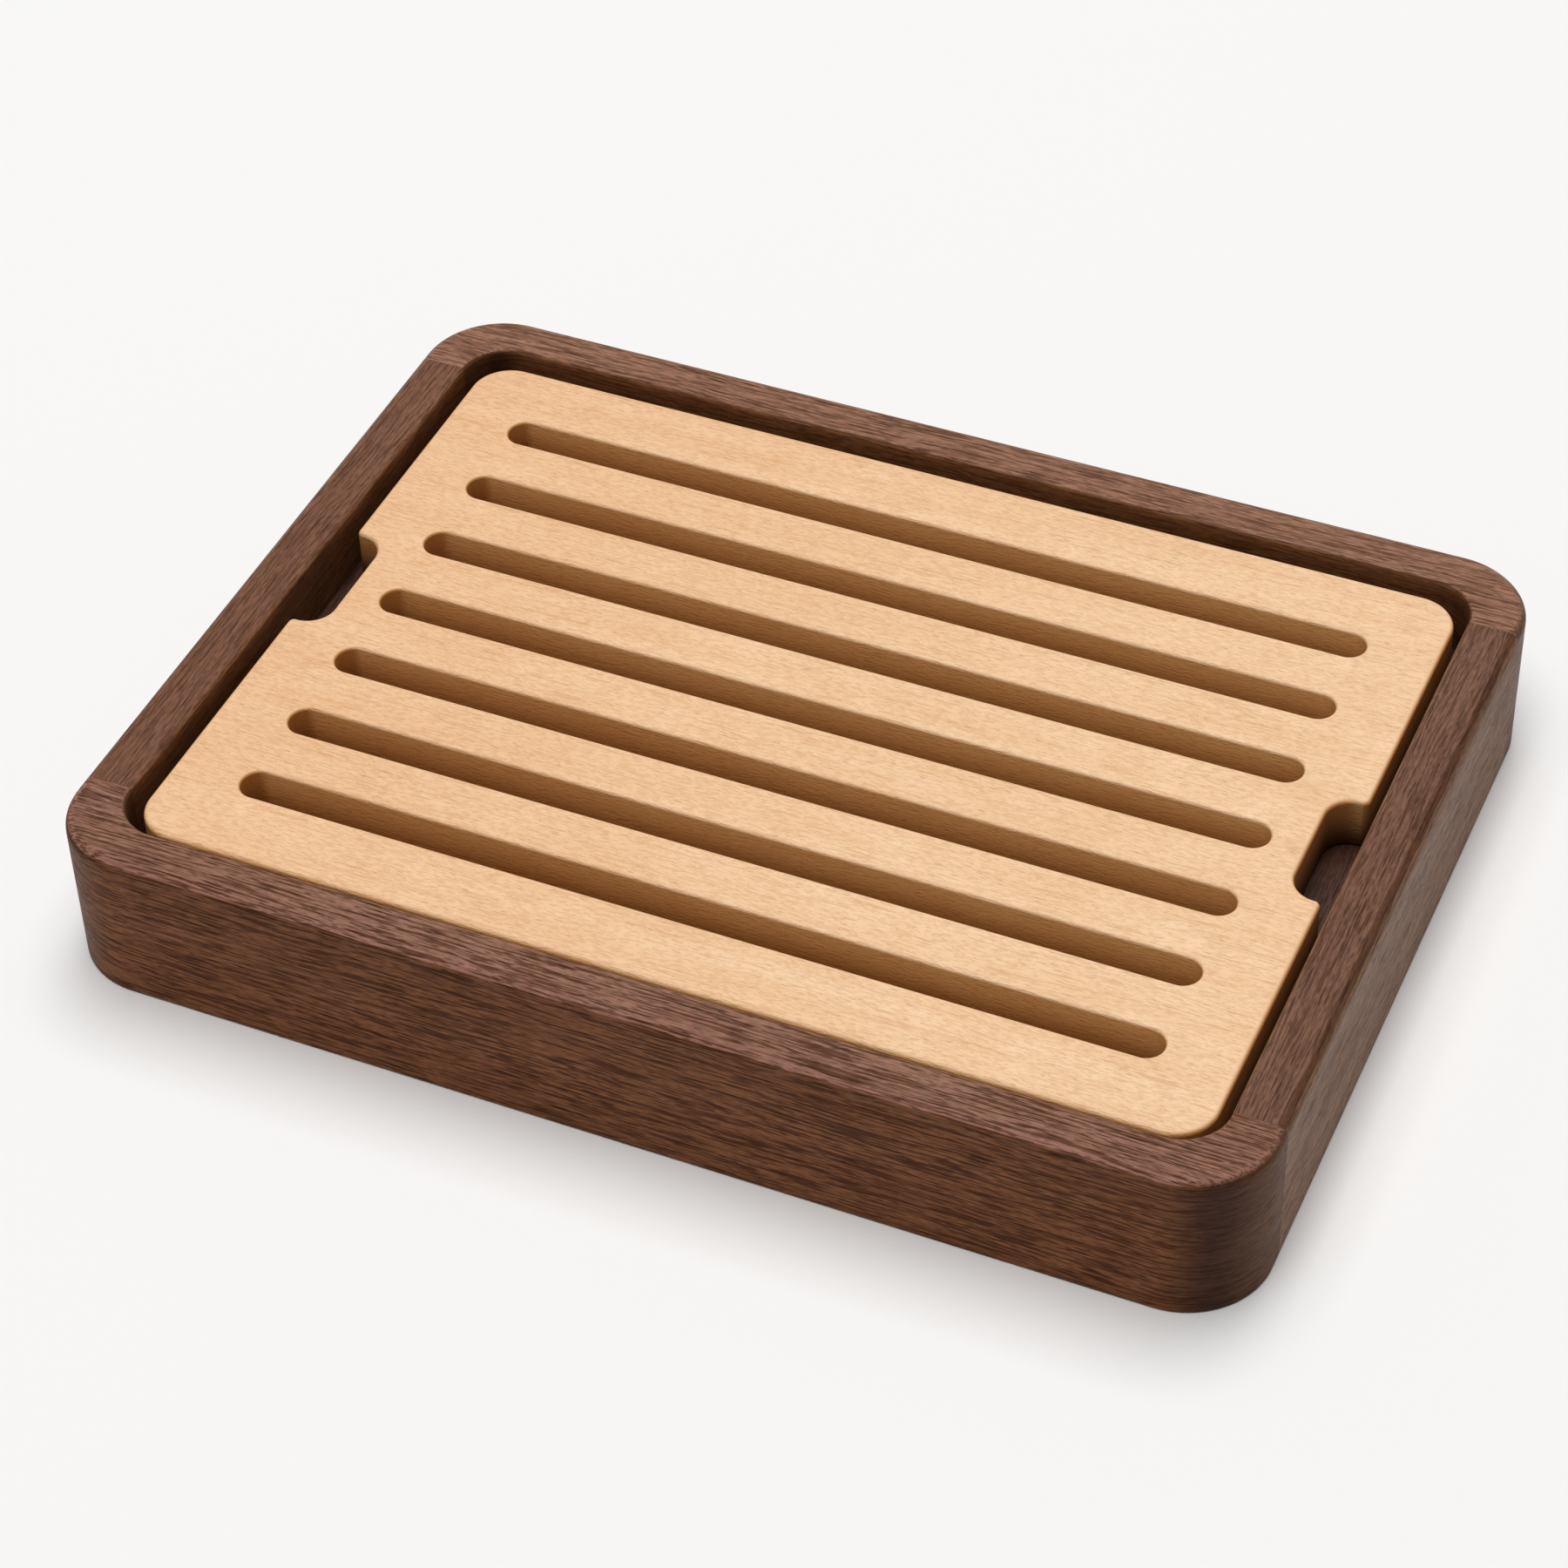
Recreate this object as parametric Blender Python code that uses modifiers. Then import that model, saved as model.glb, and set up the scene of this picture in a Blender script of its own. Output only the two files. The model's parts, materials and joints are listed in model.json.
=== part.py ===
"""Bread board with a crumb catcher: a walnut tray that carries a slotted maple board.

Metres, +Z up. The origin lies under the middle of the tray, on the surface it stands on.
X runs along the long side, and the front of the tray faces -Y.
"""
import math

import bmesh
import bpy

COLLECTION = "Bread board with crumb catcher"

# Tray outside
TRAY_WIDTH = 0.400
TRAY_DEPTH = 0.300
TRAY_HEIGHT = 0.056
OUTER_CORNER_RADIUS = 0.028

# Rails
RAIL_THICKNESS = 0.0172
INNER_CORNER_RADIUS = 0.016
TOP_OUTER_ROUND = 0.004
TOP_INNER_ROUND = 0.0016
BOTTOM_ROUND = 0.001

# Floor panel, held in a groove
PANEL_THICKNESS = 0.009
PANEL_LIFT = 0.004
GROOVE_DEPTH = 0.005
PANEL_EDGE_PLAY = 0.0008

# Ledges that carry the slotted board
LEDGE_WIDTH = 0.020

# Dowels across the four butt seams
DOWEL_DIAMETER = 0.006
DOWEL_LENGTH = 0.034
DOWEL_HEIGHT_SHARES = {"lower": 0.38, "upper": 0.74}

# Slotted board
BOARD_THICKNESS = 0.019
BOARD_RECESS = 0.004
BOARD_SIDE_PLAY = 0.0043
BOARD_CORNER_RADIUS = 0.014
BOARD_TOP_ROUND = 0.0018
BOARD_BOTTOM_ROUND = 0.0008
SLOT_COUNT = 7
SLOT_WIDTH = 0.012
SLOT_END_MARGIN = 0.0235
SLOT_ROUND = 0.0012

# Finger notches in the board's short edges
NOTCH_LENGTH = 0.0465
NOTCH_DEPTH = 0.0114
NOTCH_INNER_RADIUS = 0.009
NOTCH_OUTER_RADIUS = 0.0018
NOTCH_BACK_SHIFT = 0.003

# Clearance between pieces that touch, and the distance under which two points are one
FIT_GAP = 0.0003
WELD_DISTANCE = 0.00001

# Steps in a quarter turn, and in a rounded edge
CORNER_STEPS = 10
INNER_CORNER_STEPS = 8
NOTCH_STEPS = 8
SLOT_END_STEPS = 7
ROUND_STEPS = 3
DOWEL_SIDES = 24

# How far an edge turns where it is the rim of a flat face, where it stays crisp and where it can go
RIM_ANGLE = math.radians(60)
CRISP_ANGLE = math.radians(30)
FLAT_ANGLE = math.radians(1)

# Worked out from the sizes above
HALF_WIDTH = TRAY_WIDTH / 2
HALF_DEPTH = TRAY_DEPTH / 2
INNER_HALF_WIDTH = HALF_WIDTH - RAIL_THICKNESS
INNER_HALF_DEPTH = HALF_DEPTH - RAIL_THICKNESS
SEAM_Y = min(INNER_HALF_DEPTH - INNER_CORNER_RADIUS, HALF_DEPTH - OUTER_CORNER_RADIUS)
PANEL_TOP = PANEL_LIFT + PANEL_THICKNESS
BOARD_TOP = TRAY_HEIGHT - BOARD_RECESS
BOARD_BOTTOM = BOARD_TOP - BOARD_THICKNESS
LEDGE_TOP = BOARD_BOTTOM - FIT_GAP
LEDGE_BOTTOM = PANEL_TOP + FIT_GAP
BOARD_HALF_WIDTH = INNER_HALF_WIDTH - BOARD_SIDE_PLAY
BOARD_HALF_DEPTH = INNER_HALF_DEPTH - BOARD_SIDE_PLAY
SLOT_HALF_LENGTH = BOARD_HALF_WIDTH - SLOT_END_MARGIN
SLOT_PITCH = 2 * BOARD_HALF_DEPTH / (SLOT_COUNT + 1)

WALNUT = {"color": (0.125, 0.062, 0.043, 1.0), "roughness": 0.5, "metallic": 0.0}
WALNUT_FLOOR = {"color": (0.110, 0.056, 0.040, 1.0), "roughness": 0.55, "metallic": 0.0}
MAPLE = {"color": (0.660, 0.440, 0.260, 1.0), "roughness": 0.5, "metallic": 0.0}
BEECH = {"color": (0.600, 0.400, 0.240, 1.0), "roughness": 0.6, "metallic": 0.0}


def clear_scene():
    """Remove every object, so that the script can be run again."""
    for old in list(bpy.data.objects):
        bpy.data.objects.remove(old, do_unlink=True)


def make_collections():
    """Return the collection of the object's pieces and the one of its cutters."""
    pieces = bpy.data.collections.new(COLLECTION)
    cutters = bpy.data.collections.new("Cutters")
    bpy.context.scene.collection.children.link(pieces)
    bpy.context.scene.collection.children.link(cutters)
    return pieces, cutters


def make_material(name, look):
    """Return a Principled material with the colour, roughness and metallic value of the look."""
    material = bpy.data.materials.new(name)
    material.use_nodes = True
    shader = material.node_tree.nodes["Principled BSDF"]
    shader.inputs["Base Color"].default_value = look["color"]
    shader.inputs["Roughness"].default_value = look["roughness"]
    shader.inputs["Metallic"].default_value = look["metallic"]
    material.diffuse_color = look["color"]
    return material


def arc(center_x, center_y, radius, start, end, steps):
    """Points along an arc, with angles in degrees and both ends included."""
    points = []
    for step in range(steps + 1):
        angle = math.radians(start + (end - start) * step / steps)
        points.append((center_x + radius * math.cos(angle), center_y + radius * math.sin(angle)))
    return points


def rounded_rectangle(half_x, half_y, radius, steps):
    """A rectangle about the origin with four rounded corners, counter-clockwise."""
    x = half_x - radius
    y = half_y - radius
    return (arc(x, y, radius, 0, 90, steps) + arc(-x, y, radius, 90, 180, steps)
            + arc(-x, -y, radius, 180, 270, steps) + arc(x, -y, radius, 270, 360, steps))


def flat_piece(name, outline, bottom, top, collection, material=None):
    """Return a mesh object: the outline, filled between two heights."""
    curve = bpy.data.curves.new(name + "_outline", "CURVE")
    curve.dimensions = "2D"
    curve.fill_mode = "BOTH"
    curve.extrude = (top - bottom) / 2
    spline = curve.splines.new("POLY")
    spline.points.add(len(outline) - 1)
    for point, (x, y) in zip(spline.points, outline):
        point.co = (x, y, 0, 1)
    spline.use_cyclic_u = True
    drawing = bpy.data.objects.new(name + "_outline", curve)
    drawing.location.z = (top + bottom) / 2
    collection.objects.link(drawing)
    bpy.context.view_layer.update()
    evaluated = drawing.evaluated_get(bpy.context.evaluated_depsgraph_get())
    mesh = bpy.data.meshes.new_from_object(evaluated)
    piece = bpy.data.objects.new(name, mesh)
    piece.matrix_world = drawing.matrix_world
    collection.objects.link(piece)
    bpy.data.objects.remove(drawing, do_unlink=True)
    bpy.data.curves.remove(curve)
    weld(mesh)
    mesh.materials.clear()
    if material is not None:
        mesh.materials.append(material)
    return piece


def weld(mesh):
    """Close the loose caps of a converted curve and turn its triangles back into wide flat faces."""
    cage = bmesh.new()
    cage.from_mesh(mesh)
    bmesh.ops.remove_doubles(cage, verts=cage.verts, dist=WELD_DISTANCE)
    bmesh.ops.dissolve_limit(cage, angle_limit=FLAT_ANGLE, verts=cage.verts, edges=cage.edges)
    bmesh.ops.recalc_face_normals(cage, faces=cage.faces)
    cage.to_mesh(mesh)
    cage.free()


def round_edges(piece, width, shares_of):
    """Round each edge of the piece by the share of the width that shares_of gives for its two ends."""
    mesh = piece.data
    cage = bmesh.new()
    cage.from_mesh(mesh)
    weights = cage.edges.layers.float.new("bevel_weight_edge")
    for edge in cage.edges:
        if edge.calc_face_angle(0) > RIM_ANGLE:
            edge[weights] = shares_of(*(vertex.co for vertex in edge.verts))
    cage.to_mesh(mesh)
    cage.free()
    bevel = piece.modifiers.new("Rounded edges", "BEVEL")
    bevel.limit_method = "WEIGHT"
    bevel.width = width
    bevel.segments = ROUND_STEPS


def cut(piece, cutters):
    """Take every cutter's shape out of the piece."""
    modifier = piece.modifiers.new("Groove and dowel holes", "BOOLEAN")
    modifier.operation = "DIFFERENCE"
    modifier.solver = "EXACT"
    modifier.operand_type = "COLLECTION"
    modifier.collection = cutters


def mark_as_cutter(cutter):
    """Keep a cutter out of sight."""
    cutter.hide_render = True
    cutter.display_type = "WIRE"


def shade_round(piece):
    """Smooth shading, with the sharp edges kept crisp."""
    piece.data.shade_smooth()
    piece.data.set_sharp_from_angle(angle=CRISP_ANGLE)


def rail_end_outline(side):
    """The front (side -1) or back (side 1) rail seen from above: a straight rail with both tray corners."""
    seam = SEAM_Y + FIT_GAP / 2
    outer_x = HALF_WIDTH - OUTER_CORNER_RADIUS
    outer_y = HALF_DEPTH - OUTER_CORNER_RADIUS
    inner_x = INNER_HALF_WIDTH - INNER_CORNER_RADIUS
    inner_y = INNER_HALF_DEPTH - INNER_CORNER_RADIUS
    outline = [(HALF_WIDTH, seam)]
    outline += arc(outer_x, outer_y, OUTER_CORNER_RADIUS, 0, 90, CORNER_STEPS)
    outline += arc(-outer_x, outer_y, OUTER_CORNER_RADIUS, 90, 180, CORNER_STEPS)
    outline += [(-HALF_WIDTH, seam), (-INNER_HALF_WIDTH, seam)]
    inner = arc(-inner_x, inner_y, INNER_CORNER_RADIUS, 180, 90, INNER_CORNER_STEPS)
    inner += arc(inner_x, inner_y, INNER_CORNER_RADIUS, 90, 0, INNER_CORNER_STEPS)
    outline += [point for point in inner if point[1] > seam + FIT_GAP]
    outline += [(INNER_HALF_WIDTH, seam)]
    return [(x, side * y) for x, y in outline[::side]]


def rail_side_outline(side):
    """The left (side -1) or right (side 1) rail seen from above: a straight bar between the seams."""
    end = SEAM_Y - FIT_GAP / 2
    near = side * INNER_HALF_WIDTH
    far = side * HALF_WIDTH
    return [(near, -end), (far, -end), (far, end), (near, end)]


def is_level(first, second):
    """Whether an edge lies level, and doesn't stand upright."""
    return abs(first.z - second.z) < WELD_DISTANCE


def rail_round_shares(first, second):
    """The tray's outer top edge is rounded most, its inner top edge and foot less, and its seams not."""
    middle = (first + second) / 2
    is_top = middle.z > 0
    on_seam = abs(abs(middle.y) - SEAM_Y) < 2 * FIT_GAP
    outer_x = abs(middle.x) - (HALF_WIDTH - OUTER_CORNER_RADIUS)
    outer_y = abs(middle.y) - (HALF_DEPTH - OUTER_CORNER_RADIUS)
    reach = math.hypot(max(outer_x, 0), max(outer_y, 0))
    is_outer = reach > OUTER_CORNER_RADIUS - TOP_OUTER_ROUND / 2
    if on_seam or not is_level(first, second):
        return 0
    if is_outer:
        return 1 if is_top else BOTTOM_ROUND / TOP_OUTER_ROUND
    return TOP_INNER_ROUND / TOP_OUTER_ROUND if is_top else 0


def make_groove_cutter(cutters):
    """The space that the floor panel and its clearance take out of the rails."""
    reach_x = INNER_HALF_WIDTH + GROOVE_DEPTH
    reach_y = INNER_HALF_DEPTH + GROOVE_DEPTH
    outline = rounded_rectangle(reach_x, reach_y, INNER_CORNER_RADIUS + GROOVE_DEPTH, INNER_CORNER_STEPS)
    cutter = flat_piece("groove_cutter", outline, PANEL_LIFT - FIT_GAP, PANEL_TOP + FIT_GAP, cutters)
    mark_as_cutter(cutter)


def dowel_places():
    """The name and middle of each dowel: two above each other across each of the four seams."""
    middle_x = HALF_WIDTH - RAIL_THICKNESS / 2
    places = {}
    for end, side_y in (("front", -1), ("back", 1)):
        for side, side_x in (("left", -1), ("right", 1)):
            for level, share in DOWEL_HEIGHT_SHARES.items():
                places[f"{end}_{side}_{level}"] = (side_x * middle_x, side_y * SEAM_Y, TRAY_HEIGHT * share)
    return places


def make_round_bar(name, place, radius, length, collection):
    """A round bar that lies along Y with its middle at the place."""
    mesh = bpy.data.meshes.new(name)
    cage = bmesh.new()
    bmesh.ops.create_cone(cage, cap_ends=True, segments=DOWEL_SIDES, radius1=radius, radius2=radius,
                          depth=length)
    cage.to_mesh(mesh)
    cage.free()
    bar = bpy.data.objects.new(name, mesh)
    bar.location = place
    bar.rotation_euler.x = math.radians(90)
    collection.objects.link(bar)
    return bar


def make_dowels_and_holes(pieces, cutters):
    """The dowels across the butt seams, and the cutters of the blind holes that they lie in."""
    radius = DOWEL_DIAMETER / 2
    for name, place in dowel_places().items():
        dowel = make_round_bar("dowel_" + name, place, radius, DOWEL_LENGTH, pieces)
        dowel.data.materials.append(make_material(dowel.name, BEECH))
        shade_round(dowel)
        hole_length = DOWEL_LENGTH + 2 * FIT_GAP
        hole = make_round_bar("hole_cutter_" + name, place, radius + FIT_GAP, hole_length, cutters)
        mark_as_cutter(hole)


def make_rails(pieces, cutters):
    """The four rails of the tray: two long ones with the corners, two short ones butted between them."""
    outlines = {"front_rail": rail_end_outline(-1), "back_rail": rail_end_outline(1),
                "left_rail": rail_side_outline(-1), "right_rail": rail_side_outline(1)}
    for name, outline in outlines.items():
        rail = flat_piece(name, outline, 0, TRAY_HEIGHT, pieces, make_material(name, WALNUT))
        round_edges(rail, TOP_OUTER_ROUND, rail_round_shares)
        cut(rail, cutters)
        shade_round(rail)


def make_base_panel(pieces):
    """The floor that catches the crumbs, with play at its edges so that it can swell in the groove."""
    reach = GROOVE_DEPTH - PANEL_EDGE_PLAY
    outline = rounded_rectangle(INNER_HALF_WIDTH + reach, INNER_HALF_DEPTH + reach,
                                INNER_CORNER_RADIUS + reach, INNER_CORNER_STEPS)
    panel = flat_piece("base_panel", outline, PANEL_LIFT, PANEL_TOP, pieces,
                       make_material("base_panel", WALNUT_FLOOR))
    shade_round(panel)


def side_ledge_outline(side):
    """A ledge along a short side, its outer corners rounded to fit the tray's."""
    inside = INNER_HALF_WIDTH - LEDGE_WIDTH
    radius = INNER_CORNER_RADIUS - FIT_GAP
    center_x = INNER_HALF_WIDTH - INNER_CORNER_RADIUS
    center_y = INNER_HALF_DEPTH - INNER_CORNER_RADIUS
    end = INNER_HALF_DEPTH - FIT_GAP
    outline = [(inside, -end)]
    outline += arc(center_x, -center_y, radius, 270, 360, INNER_CORNER_STEPS)
    outline += arc(center_x, center_y, radius, 0, 90, INNER_CORNER_STEPS)
    outline += [(inside, end)]
    return [(side * x, y) for x, y in outline[::side]]


def end_ledge_outline(side):
    """A ledge along a long side, between the two side ledges."""
    half_length = INNER_HALF_WIDTH - LEDGE_WIDTH - FIT_GAP
    near = side * (INNER_HALF_DEPTH - LEDGE_WIDTH)
    far = side * (INNER_HALF_DEPTH - FIT_GAP)
    return [(-half_length, near), (half_length, near), (half_length, far), (-half_length, far)]


def make_ledges(pieces):
    """The four strips that stand on the floor panel along the rails and carry the slotted board."""
    outlines = {"front_ledge": end_ledge_outline(-1), "back_ledge": end_ledge_outline(1),
                "left_ledge": side_ledge_outline(-1), "right_ledge": side_ledge_outline(1)}
    for name, outline in outlines.items():
        ledge = flat_piece(name, outline, LEDGE_BOTTOM, LEDGE_TOP, pieces, make_material(name, WALNUT))
        shade_round(ledge)


def board_edge_points():
    """The right-hand edge of the slotted board from front to back, with its corners and finger notch."""
    x = BOARD_HALF_WIDTH
    y = BOARD_HALF_DEPTH
    radius = BOARD_CORNER_RADIUS
    front = NOTCH_BACK_SHIFT - NOTCH_LENGTH / 2
    back = NOTCH_BACK_SHIFT + NOTCH_LENGTH / 2
    inner_x = x - NOTCH_DEPTH + NOTCH_INNER_RADIUS
    points = arc(x - radius, radius - y, radius, 270, 360, CORNER_STEPS)
    points += [(x, front)]
    points += arc(inner_x, front + NOTCH_INNER_RADIUS, NOTCH_INNER_RADIUS, 270, 180, NOTCH_STEPS)
    points += arc(inner_x, back - NOTCH_INNER_RADIUS, NOTCH_INNER_RADIUS, 180, 90, NOTCH_STEPS)
    points += [(x, back)]
    points += arc(x - radius, y - radius, radius, 0, 90, CORNER_STEPS)
    return points


def half_board_outline():
    """The right half of the slotted board: along its edge to the back, then in and out of each half slot."""
    radius = SLOT_WIDTH / 2
    outline = [(0, -BOARD_HALF_DEPTH)] + board_edge_points() + [(0, BOARD_HALF_DEPTH)]
    for y in reversed(slot_centers()):
        outline += [(0, y + radius)]
        outline += arc(SLOT_HALF_LENGTH - radius, y, radius, 90, -90, 2 * SLOT_END_STEPS)
        outline += [(0, y - radius)]
    return outline


def slot_centers():
    """The height on the plan of each slot's centre line, from front to back."""
    return [(number - (SLOT_COUNT - 1) / 2) * SLOT_PITCH for number in range(SLOT_COUNT)]


def board_round_shares(first, second):
    """The board's outer top edge is rounded most, the slots' mouths less and the underside least."""
    middle = (first + second) / 2
    beside_slot = abs(middle.x) < SLOT_HALF_LENGTH + FIT_GAP
    between_ends = abs(middle.y) < BOARD_HALF_DEPTH - SLOT_PITCH / 2
    if not is_level(first, second):
        return NOTCH_OUTER_RADIUS / BOARD_TOP_ROUND
    if middle.z < 0:
        return BOARD_BOTTOM_ROUND / BOARD_TOP_ROUND
    return SLOT_ROUND / BOARD_TOP_ROUND if beside_slot and between_ends else 1


def open_at_middle(mesh):
    """Take away the faces on the plane X = 0, where the mirrored half joins on."""
    cage = bmesh.new()
    cage.from_mesh(mesh)
    inner = [face for face in cage.faces if max(abs(vertex.co.x) for vertex in face.verts) < WELD_DISTANCE]
    bmesh.ops.delete(cage, geom=inner, context="FACES")
    cage.to_mesh(mesh)
    cage.free()


def make_board(pieces):
    """The slotted board. Its object stands on the lifting axis, in the middle of the tray."""
    board = flat_piece("slotted_grid", half_board_outline(), BOARD_BOTTOM, BOARD_TOP, pieces,
                       make_material("slotted_grid", MAPLE))
    open_at_middle(board.data)
    mirror = board.modifiers.new("Left half", "MIRROR")
    mirror.merge_threshold = WELD_DISTANCE
    round_edges(board, BOARD_TOP_ROUND, board_round_shares)
    shade_round(board)


def main():
    clear_scene()
    pieces, cutters = make_collections()
    make_groove_cutter(cutters)
    make_dowels_and_holes(pieces, cutters)
    make_rails(pieces, cutters)
    make_base_panel(pieces)
    make_ledges(pieces)
    make_board(pieces)


main()
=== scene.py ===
"""A bread board with a crumb catcher: an oiled walnut tray and a slotted maple board on a pale table.

Metres, +Z up. The tray stands on z = 0 with its middle at the origin, and its front faces -Y.
"""
import json
import math
from typing import NamedTuple

import bmesh
import bpy
from bpy.props import FloatProperty, FloatVectorProperty, IntProperty, PointerProperty
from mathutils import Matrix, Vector

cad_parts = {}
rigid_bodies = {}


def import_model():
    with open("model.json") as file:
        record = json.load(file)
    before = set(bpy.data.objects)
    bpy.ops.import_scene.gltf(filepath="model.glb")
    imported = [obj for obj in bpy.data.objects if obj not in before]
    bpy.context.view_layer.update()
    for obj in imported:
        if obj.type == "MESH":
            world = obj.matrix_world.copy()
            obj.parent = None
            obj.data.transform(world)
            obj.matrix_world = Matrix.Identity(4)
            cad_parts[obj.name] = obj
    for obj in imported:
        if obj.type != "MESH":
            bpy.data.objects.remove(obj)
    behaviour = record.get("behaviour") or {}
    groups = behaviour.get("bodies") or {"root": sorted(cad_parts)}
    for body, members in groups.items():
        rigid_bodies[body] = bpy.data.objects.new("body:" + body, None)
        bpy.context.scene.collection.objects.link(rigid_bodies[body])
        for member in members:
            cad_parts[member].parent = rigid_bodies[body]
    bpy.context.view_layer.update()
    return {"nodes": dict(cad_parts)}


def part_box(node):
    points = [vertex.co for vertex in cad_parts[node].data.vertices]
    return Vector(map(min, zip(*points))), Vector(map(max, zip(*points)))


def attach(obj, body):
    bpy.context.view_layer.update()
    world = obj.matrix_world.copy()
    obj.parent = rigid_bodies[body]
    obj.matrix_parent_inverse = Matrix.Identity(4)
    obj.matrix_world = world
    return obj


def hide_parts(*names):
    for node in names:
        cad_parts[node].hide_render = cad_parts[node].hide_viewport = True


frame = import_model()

bl_info = {
    "name": "Bread Board with Crumb Catcher",
    "version": (1, 0, 0),
    "blender": (4, 5, 0),
    "location": "View3D > Sidebar > Bread Board",
    "description": "Makes an oiled walnut crumb tray with a slotted maple board, on a pale table",
    "category": "Object",
}

TRAY_LOW, TRAY_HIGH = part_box("front_rail")
BOARD_LOW, BOARD_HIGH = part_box("slotted_grid")
PANEL_LOW, PANEL_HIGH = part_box("base_panel")
LEDGE_LOW, LEDGE_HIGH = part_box("left_ledge")
DOWELS = sorted(name for name in frame["nodes"] if name.startswith("dowel_"))

# Mesh work
WELD_DISTANCE = 0.00001
FLAT_ANGLE = math.radians(1)  # faces that differ by less are one flat face
SHARP_ANGLE = math.radians(30)  # edges above it stay sharp in the shading
ROUNDED_ANGLE = math.radians(60)  # level edges above it are rounded
ARC_STEPS = 24
RAIL_ROUNDING_STEPS = 8
LEDGE_ROUNDING_STEPS = 3
DOWEL_HOLE_SIDES = 36
BOARD_CORNER_STEPS = 20
BOARD_ROUNDING_STEPS = 7
NEARLY_HALF = 0.4999  # with a full half of its width as radius, a slot's end would have edges without length
FLAT_BAND = 0.125  # width of the flat band beside the board's roundings, as a share of the rim rounding

# Marks on the points of the meshes
INNER_WALL, OUTER_WALL = 0.0, 1.0
IN_SLOT, IN_NOTCH, ON_SHORT_SIDE, ON_LONG_SIDE = 0.0, 0.5, 0.7, 1.0
INNER_WALL_CALM = 0.6
BOARD_WALL_CALM = 0.35
LEDGE_CALM = 0.5
LEFT_END = 0.4  # the share of the end-grain mark that faces turned to -X get, beside the full mark on faces turned to +X


def length(name, default, description):
    """A length that a user can change, in metres."""
    return FloatProperty(name=name, description=description, default=default, min=0, unit="LENGTH",
                         subtype="DISTANCE", precision=5)


def colour(name, default, description):
    """A linear colour that a user can change."""
    return FloatVectorProperty(name=name, description=description, default=default, size=3, min=0, max=1,
                               subtype="COLOR")


def amount(name, default, description):
    """A plain number that a user can change."""
    return FloatProperty(name=name, description=description, default=default, min=0, precision=4)


class BREADBOARD_PG_tray(bpy.types.PropertyGroup):
    """Sizes of the walnut tray."""

    rail: length("Rail Thickness", 0.0172, "Thickness of the four rails")
    outer_corner: length("Outer Corner Radius", 0.028, "Radius of the tray's corners, seen from above")
    inner_corner: length("Inner Corner Radius", 0.016, "Radius of the corners inside the tray")
    outer_round: length("Outer Top Rounding", 0.004, "Rounding of the outer top edge")
    inner_round: length("Inner Top Rounding", 0.0016, "Rounding of the inner top edge")
    foot_round: length("Foot Rounding", 0.001, "Rounding of the outer bottom edge")
    groove: length("Groove Depth", 0.005, "How far the groove for the floor panel goes into the rails")
    fit: length("Fit", 0.0003, "Air between pieces that fit into each other")
    seam: length("Seam", 0.00003, "Width of the glued seams beside the corners")
    ledge: length("Ledge Width", 0.020, "Width of the strips that carry the board")
    ledge_round: length("Ledge Rounding", 0.0006, "Rounding of the ledges' edges")


class BREADBOARD_PG_board(bpy.types.PropertyGroup):
    """Sizes of the slotted maple board."""

    corner: length("Corner Radius", 0.014, "Radius of the board's corners, seen from above")
    rim_round: length("Rim Rounding", 0.0018, "Rounding of the board's outer top edge")
    foot_round: length("Foot Rounding", 0.0008, "Rounding of the edges underneath")
    slots: IntProperty(name="Slots", description="How many slots let the crumbs through", default=7, min=1)
    slot_width: length("Slot Width", 0.012, "Width of each slot")
    slot_margin: length("Slot Margin", 0.0235, "Wood left between a slot's end and the board's edge")
    slot_round: length("Slot Rounding", 0.0012, "Rounding of the slots' upper edges")
    notch_length: length("Notch Length", 0.0465, "Length of the finger notches")
    notch_depth: length("Notch Depth", 0.0114, "Depth of the finger notches")
    notch_inner: length("Notch Inner Radius", 0.009, "Radius of the notches' inner corners")
    notch_outer: length("Notch Outer Radius", 0.0022, "Radius of the notches' outer corners")
    notch_shift: FloatProperty(name="Notch Shift", description="How far the notches sit behind the middle",
                               default=0.003, unit="LENGTH", subtype="DISTANCE", precision=5)


class BREADBOARD_PG_wood(bpy.types.PropertyGroup):
    """Colours of the woods."""

    walnut_light: colour("Walnut Light", (0.392, 0.206, 0.150), "Walnut between its streaks")
    walnut_grey: colour("Walnut Grey", (0.288, 0.1325, 0.090), "Walnut's darker bands")
    walnut_dark: colour("Walnut Dark", (0.112, 0.037, 0.015), "Long thin lines of the walnut")
    walnut_pore: colour("Walnut Pore", (0.050, 0.017, 0.005), "Open pores of the walnut")
    maple_light: colour("Maple Light", (0.965, 0.648, 0.397), "Maple between its flecks")
    maple_dark: colour("Maple Dark", (0.84, 0.48, 0.24), "Maple's late wood")
    maple_fleck: colour("Maple Fleck", (0.66, 0.34, 0.15), "Fine flecks of the maple")


class BREADBOARD_PG_stage(bpy.types.PropertyGroup):
    """Table, light and camera."""

    table: colour("Table", (0.955, 0.948, 0.938), "Colour of the table top")
    sky: amount("Sky", 0.10, "Strength of the light from all sides")
    key: amount("Key", 1.165, "Strength of the soft light from above")
    softbox_height: length("Softbox Height", 7.0, "Height of the soft lamps above the table")
    lens: FloatProperty(name="Lens", description="Focal length of the camera in millimetres", default=98.02)


class BREADBOARD_PG_settings(bpy.types.PropertyGroup):
    """All that a user can change."""

    tray: PointerProperty(type=BREADBOARD_PG_tray)
    board: PointerProperty(type=BREADBOARD_PG_board)
    wood: PointerProperty(type=BREADBOARD_PG_wood)
    stage: PointerProperty(type=BREADBOARD_PG_stage)


# Outlines, seen from above

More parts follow.
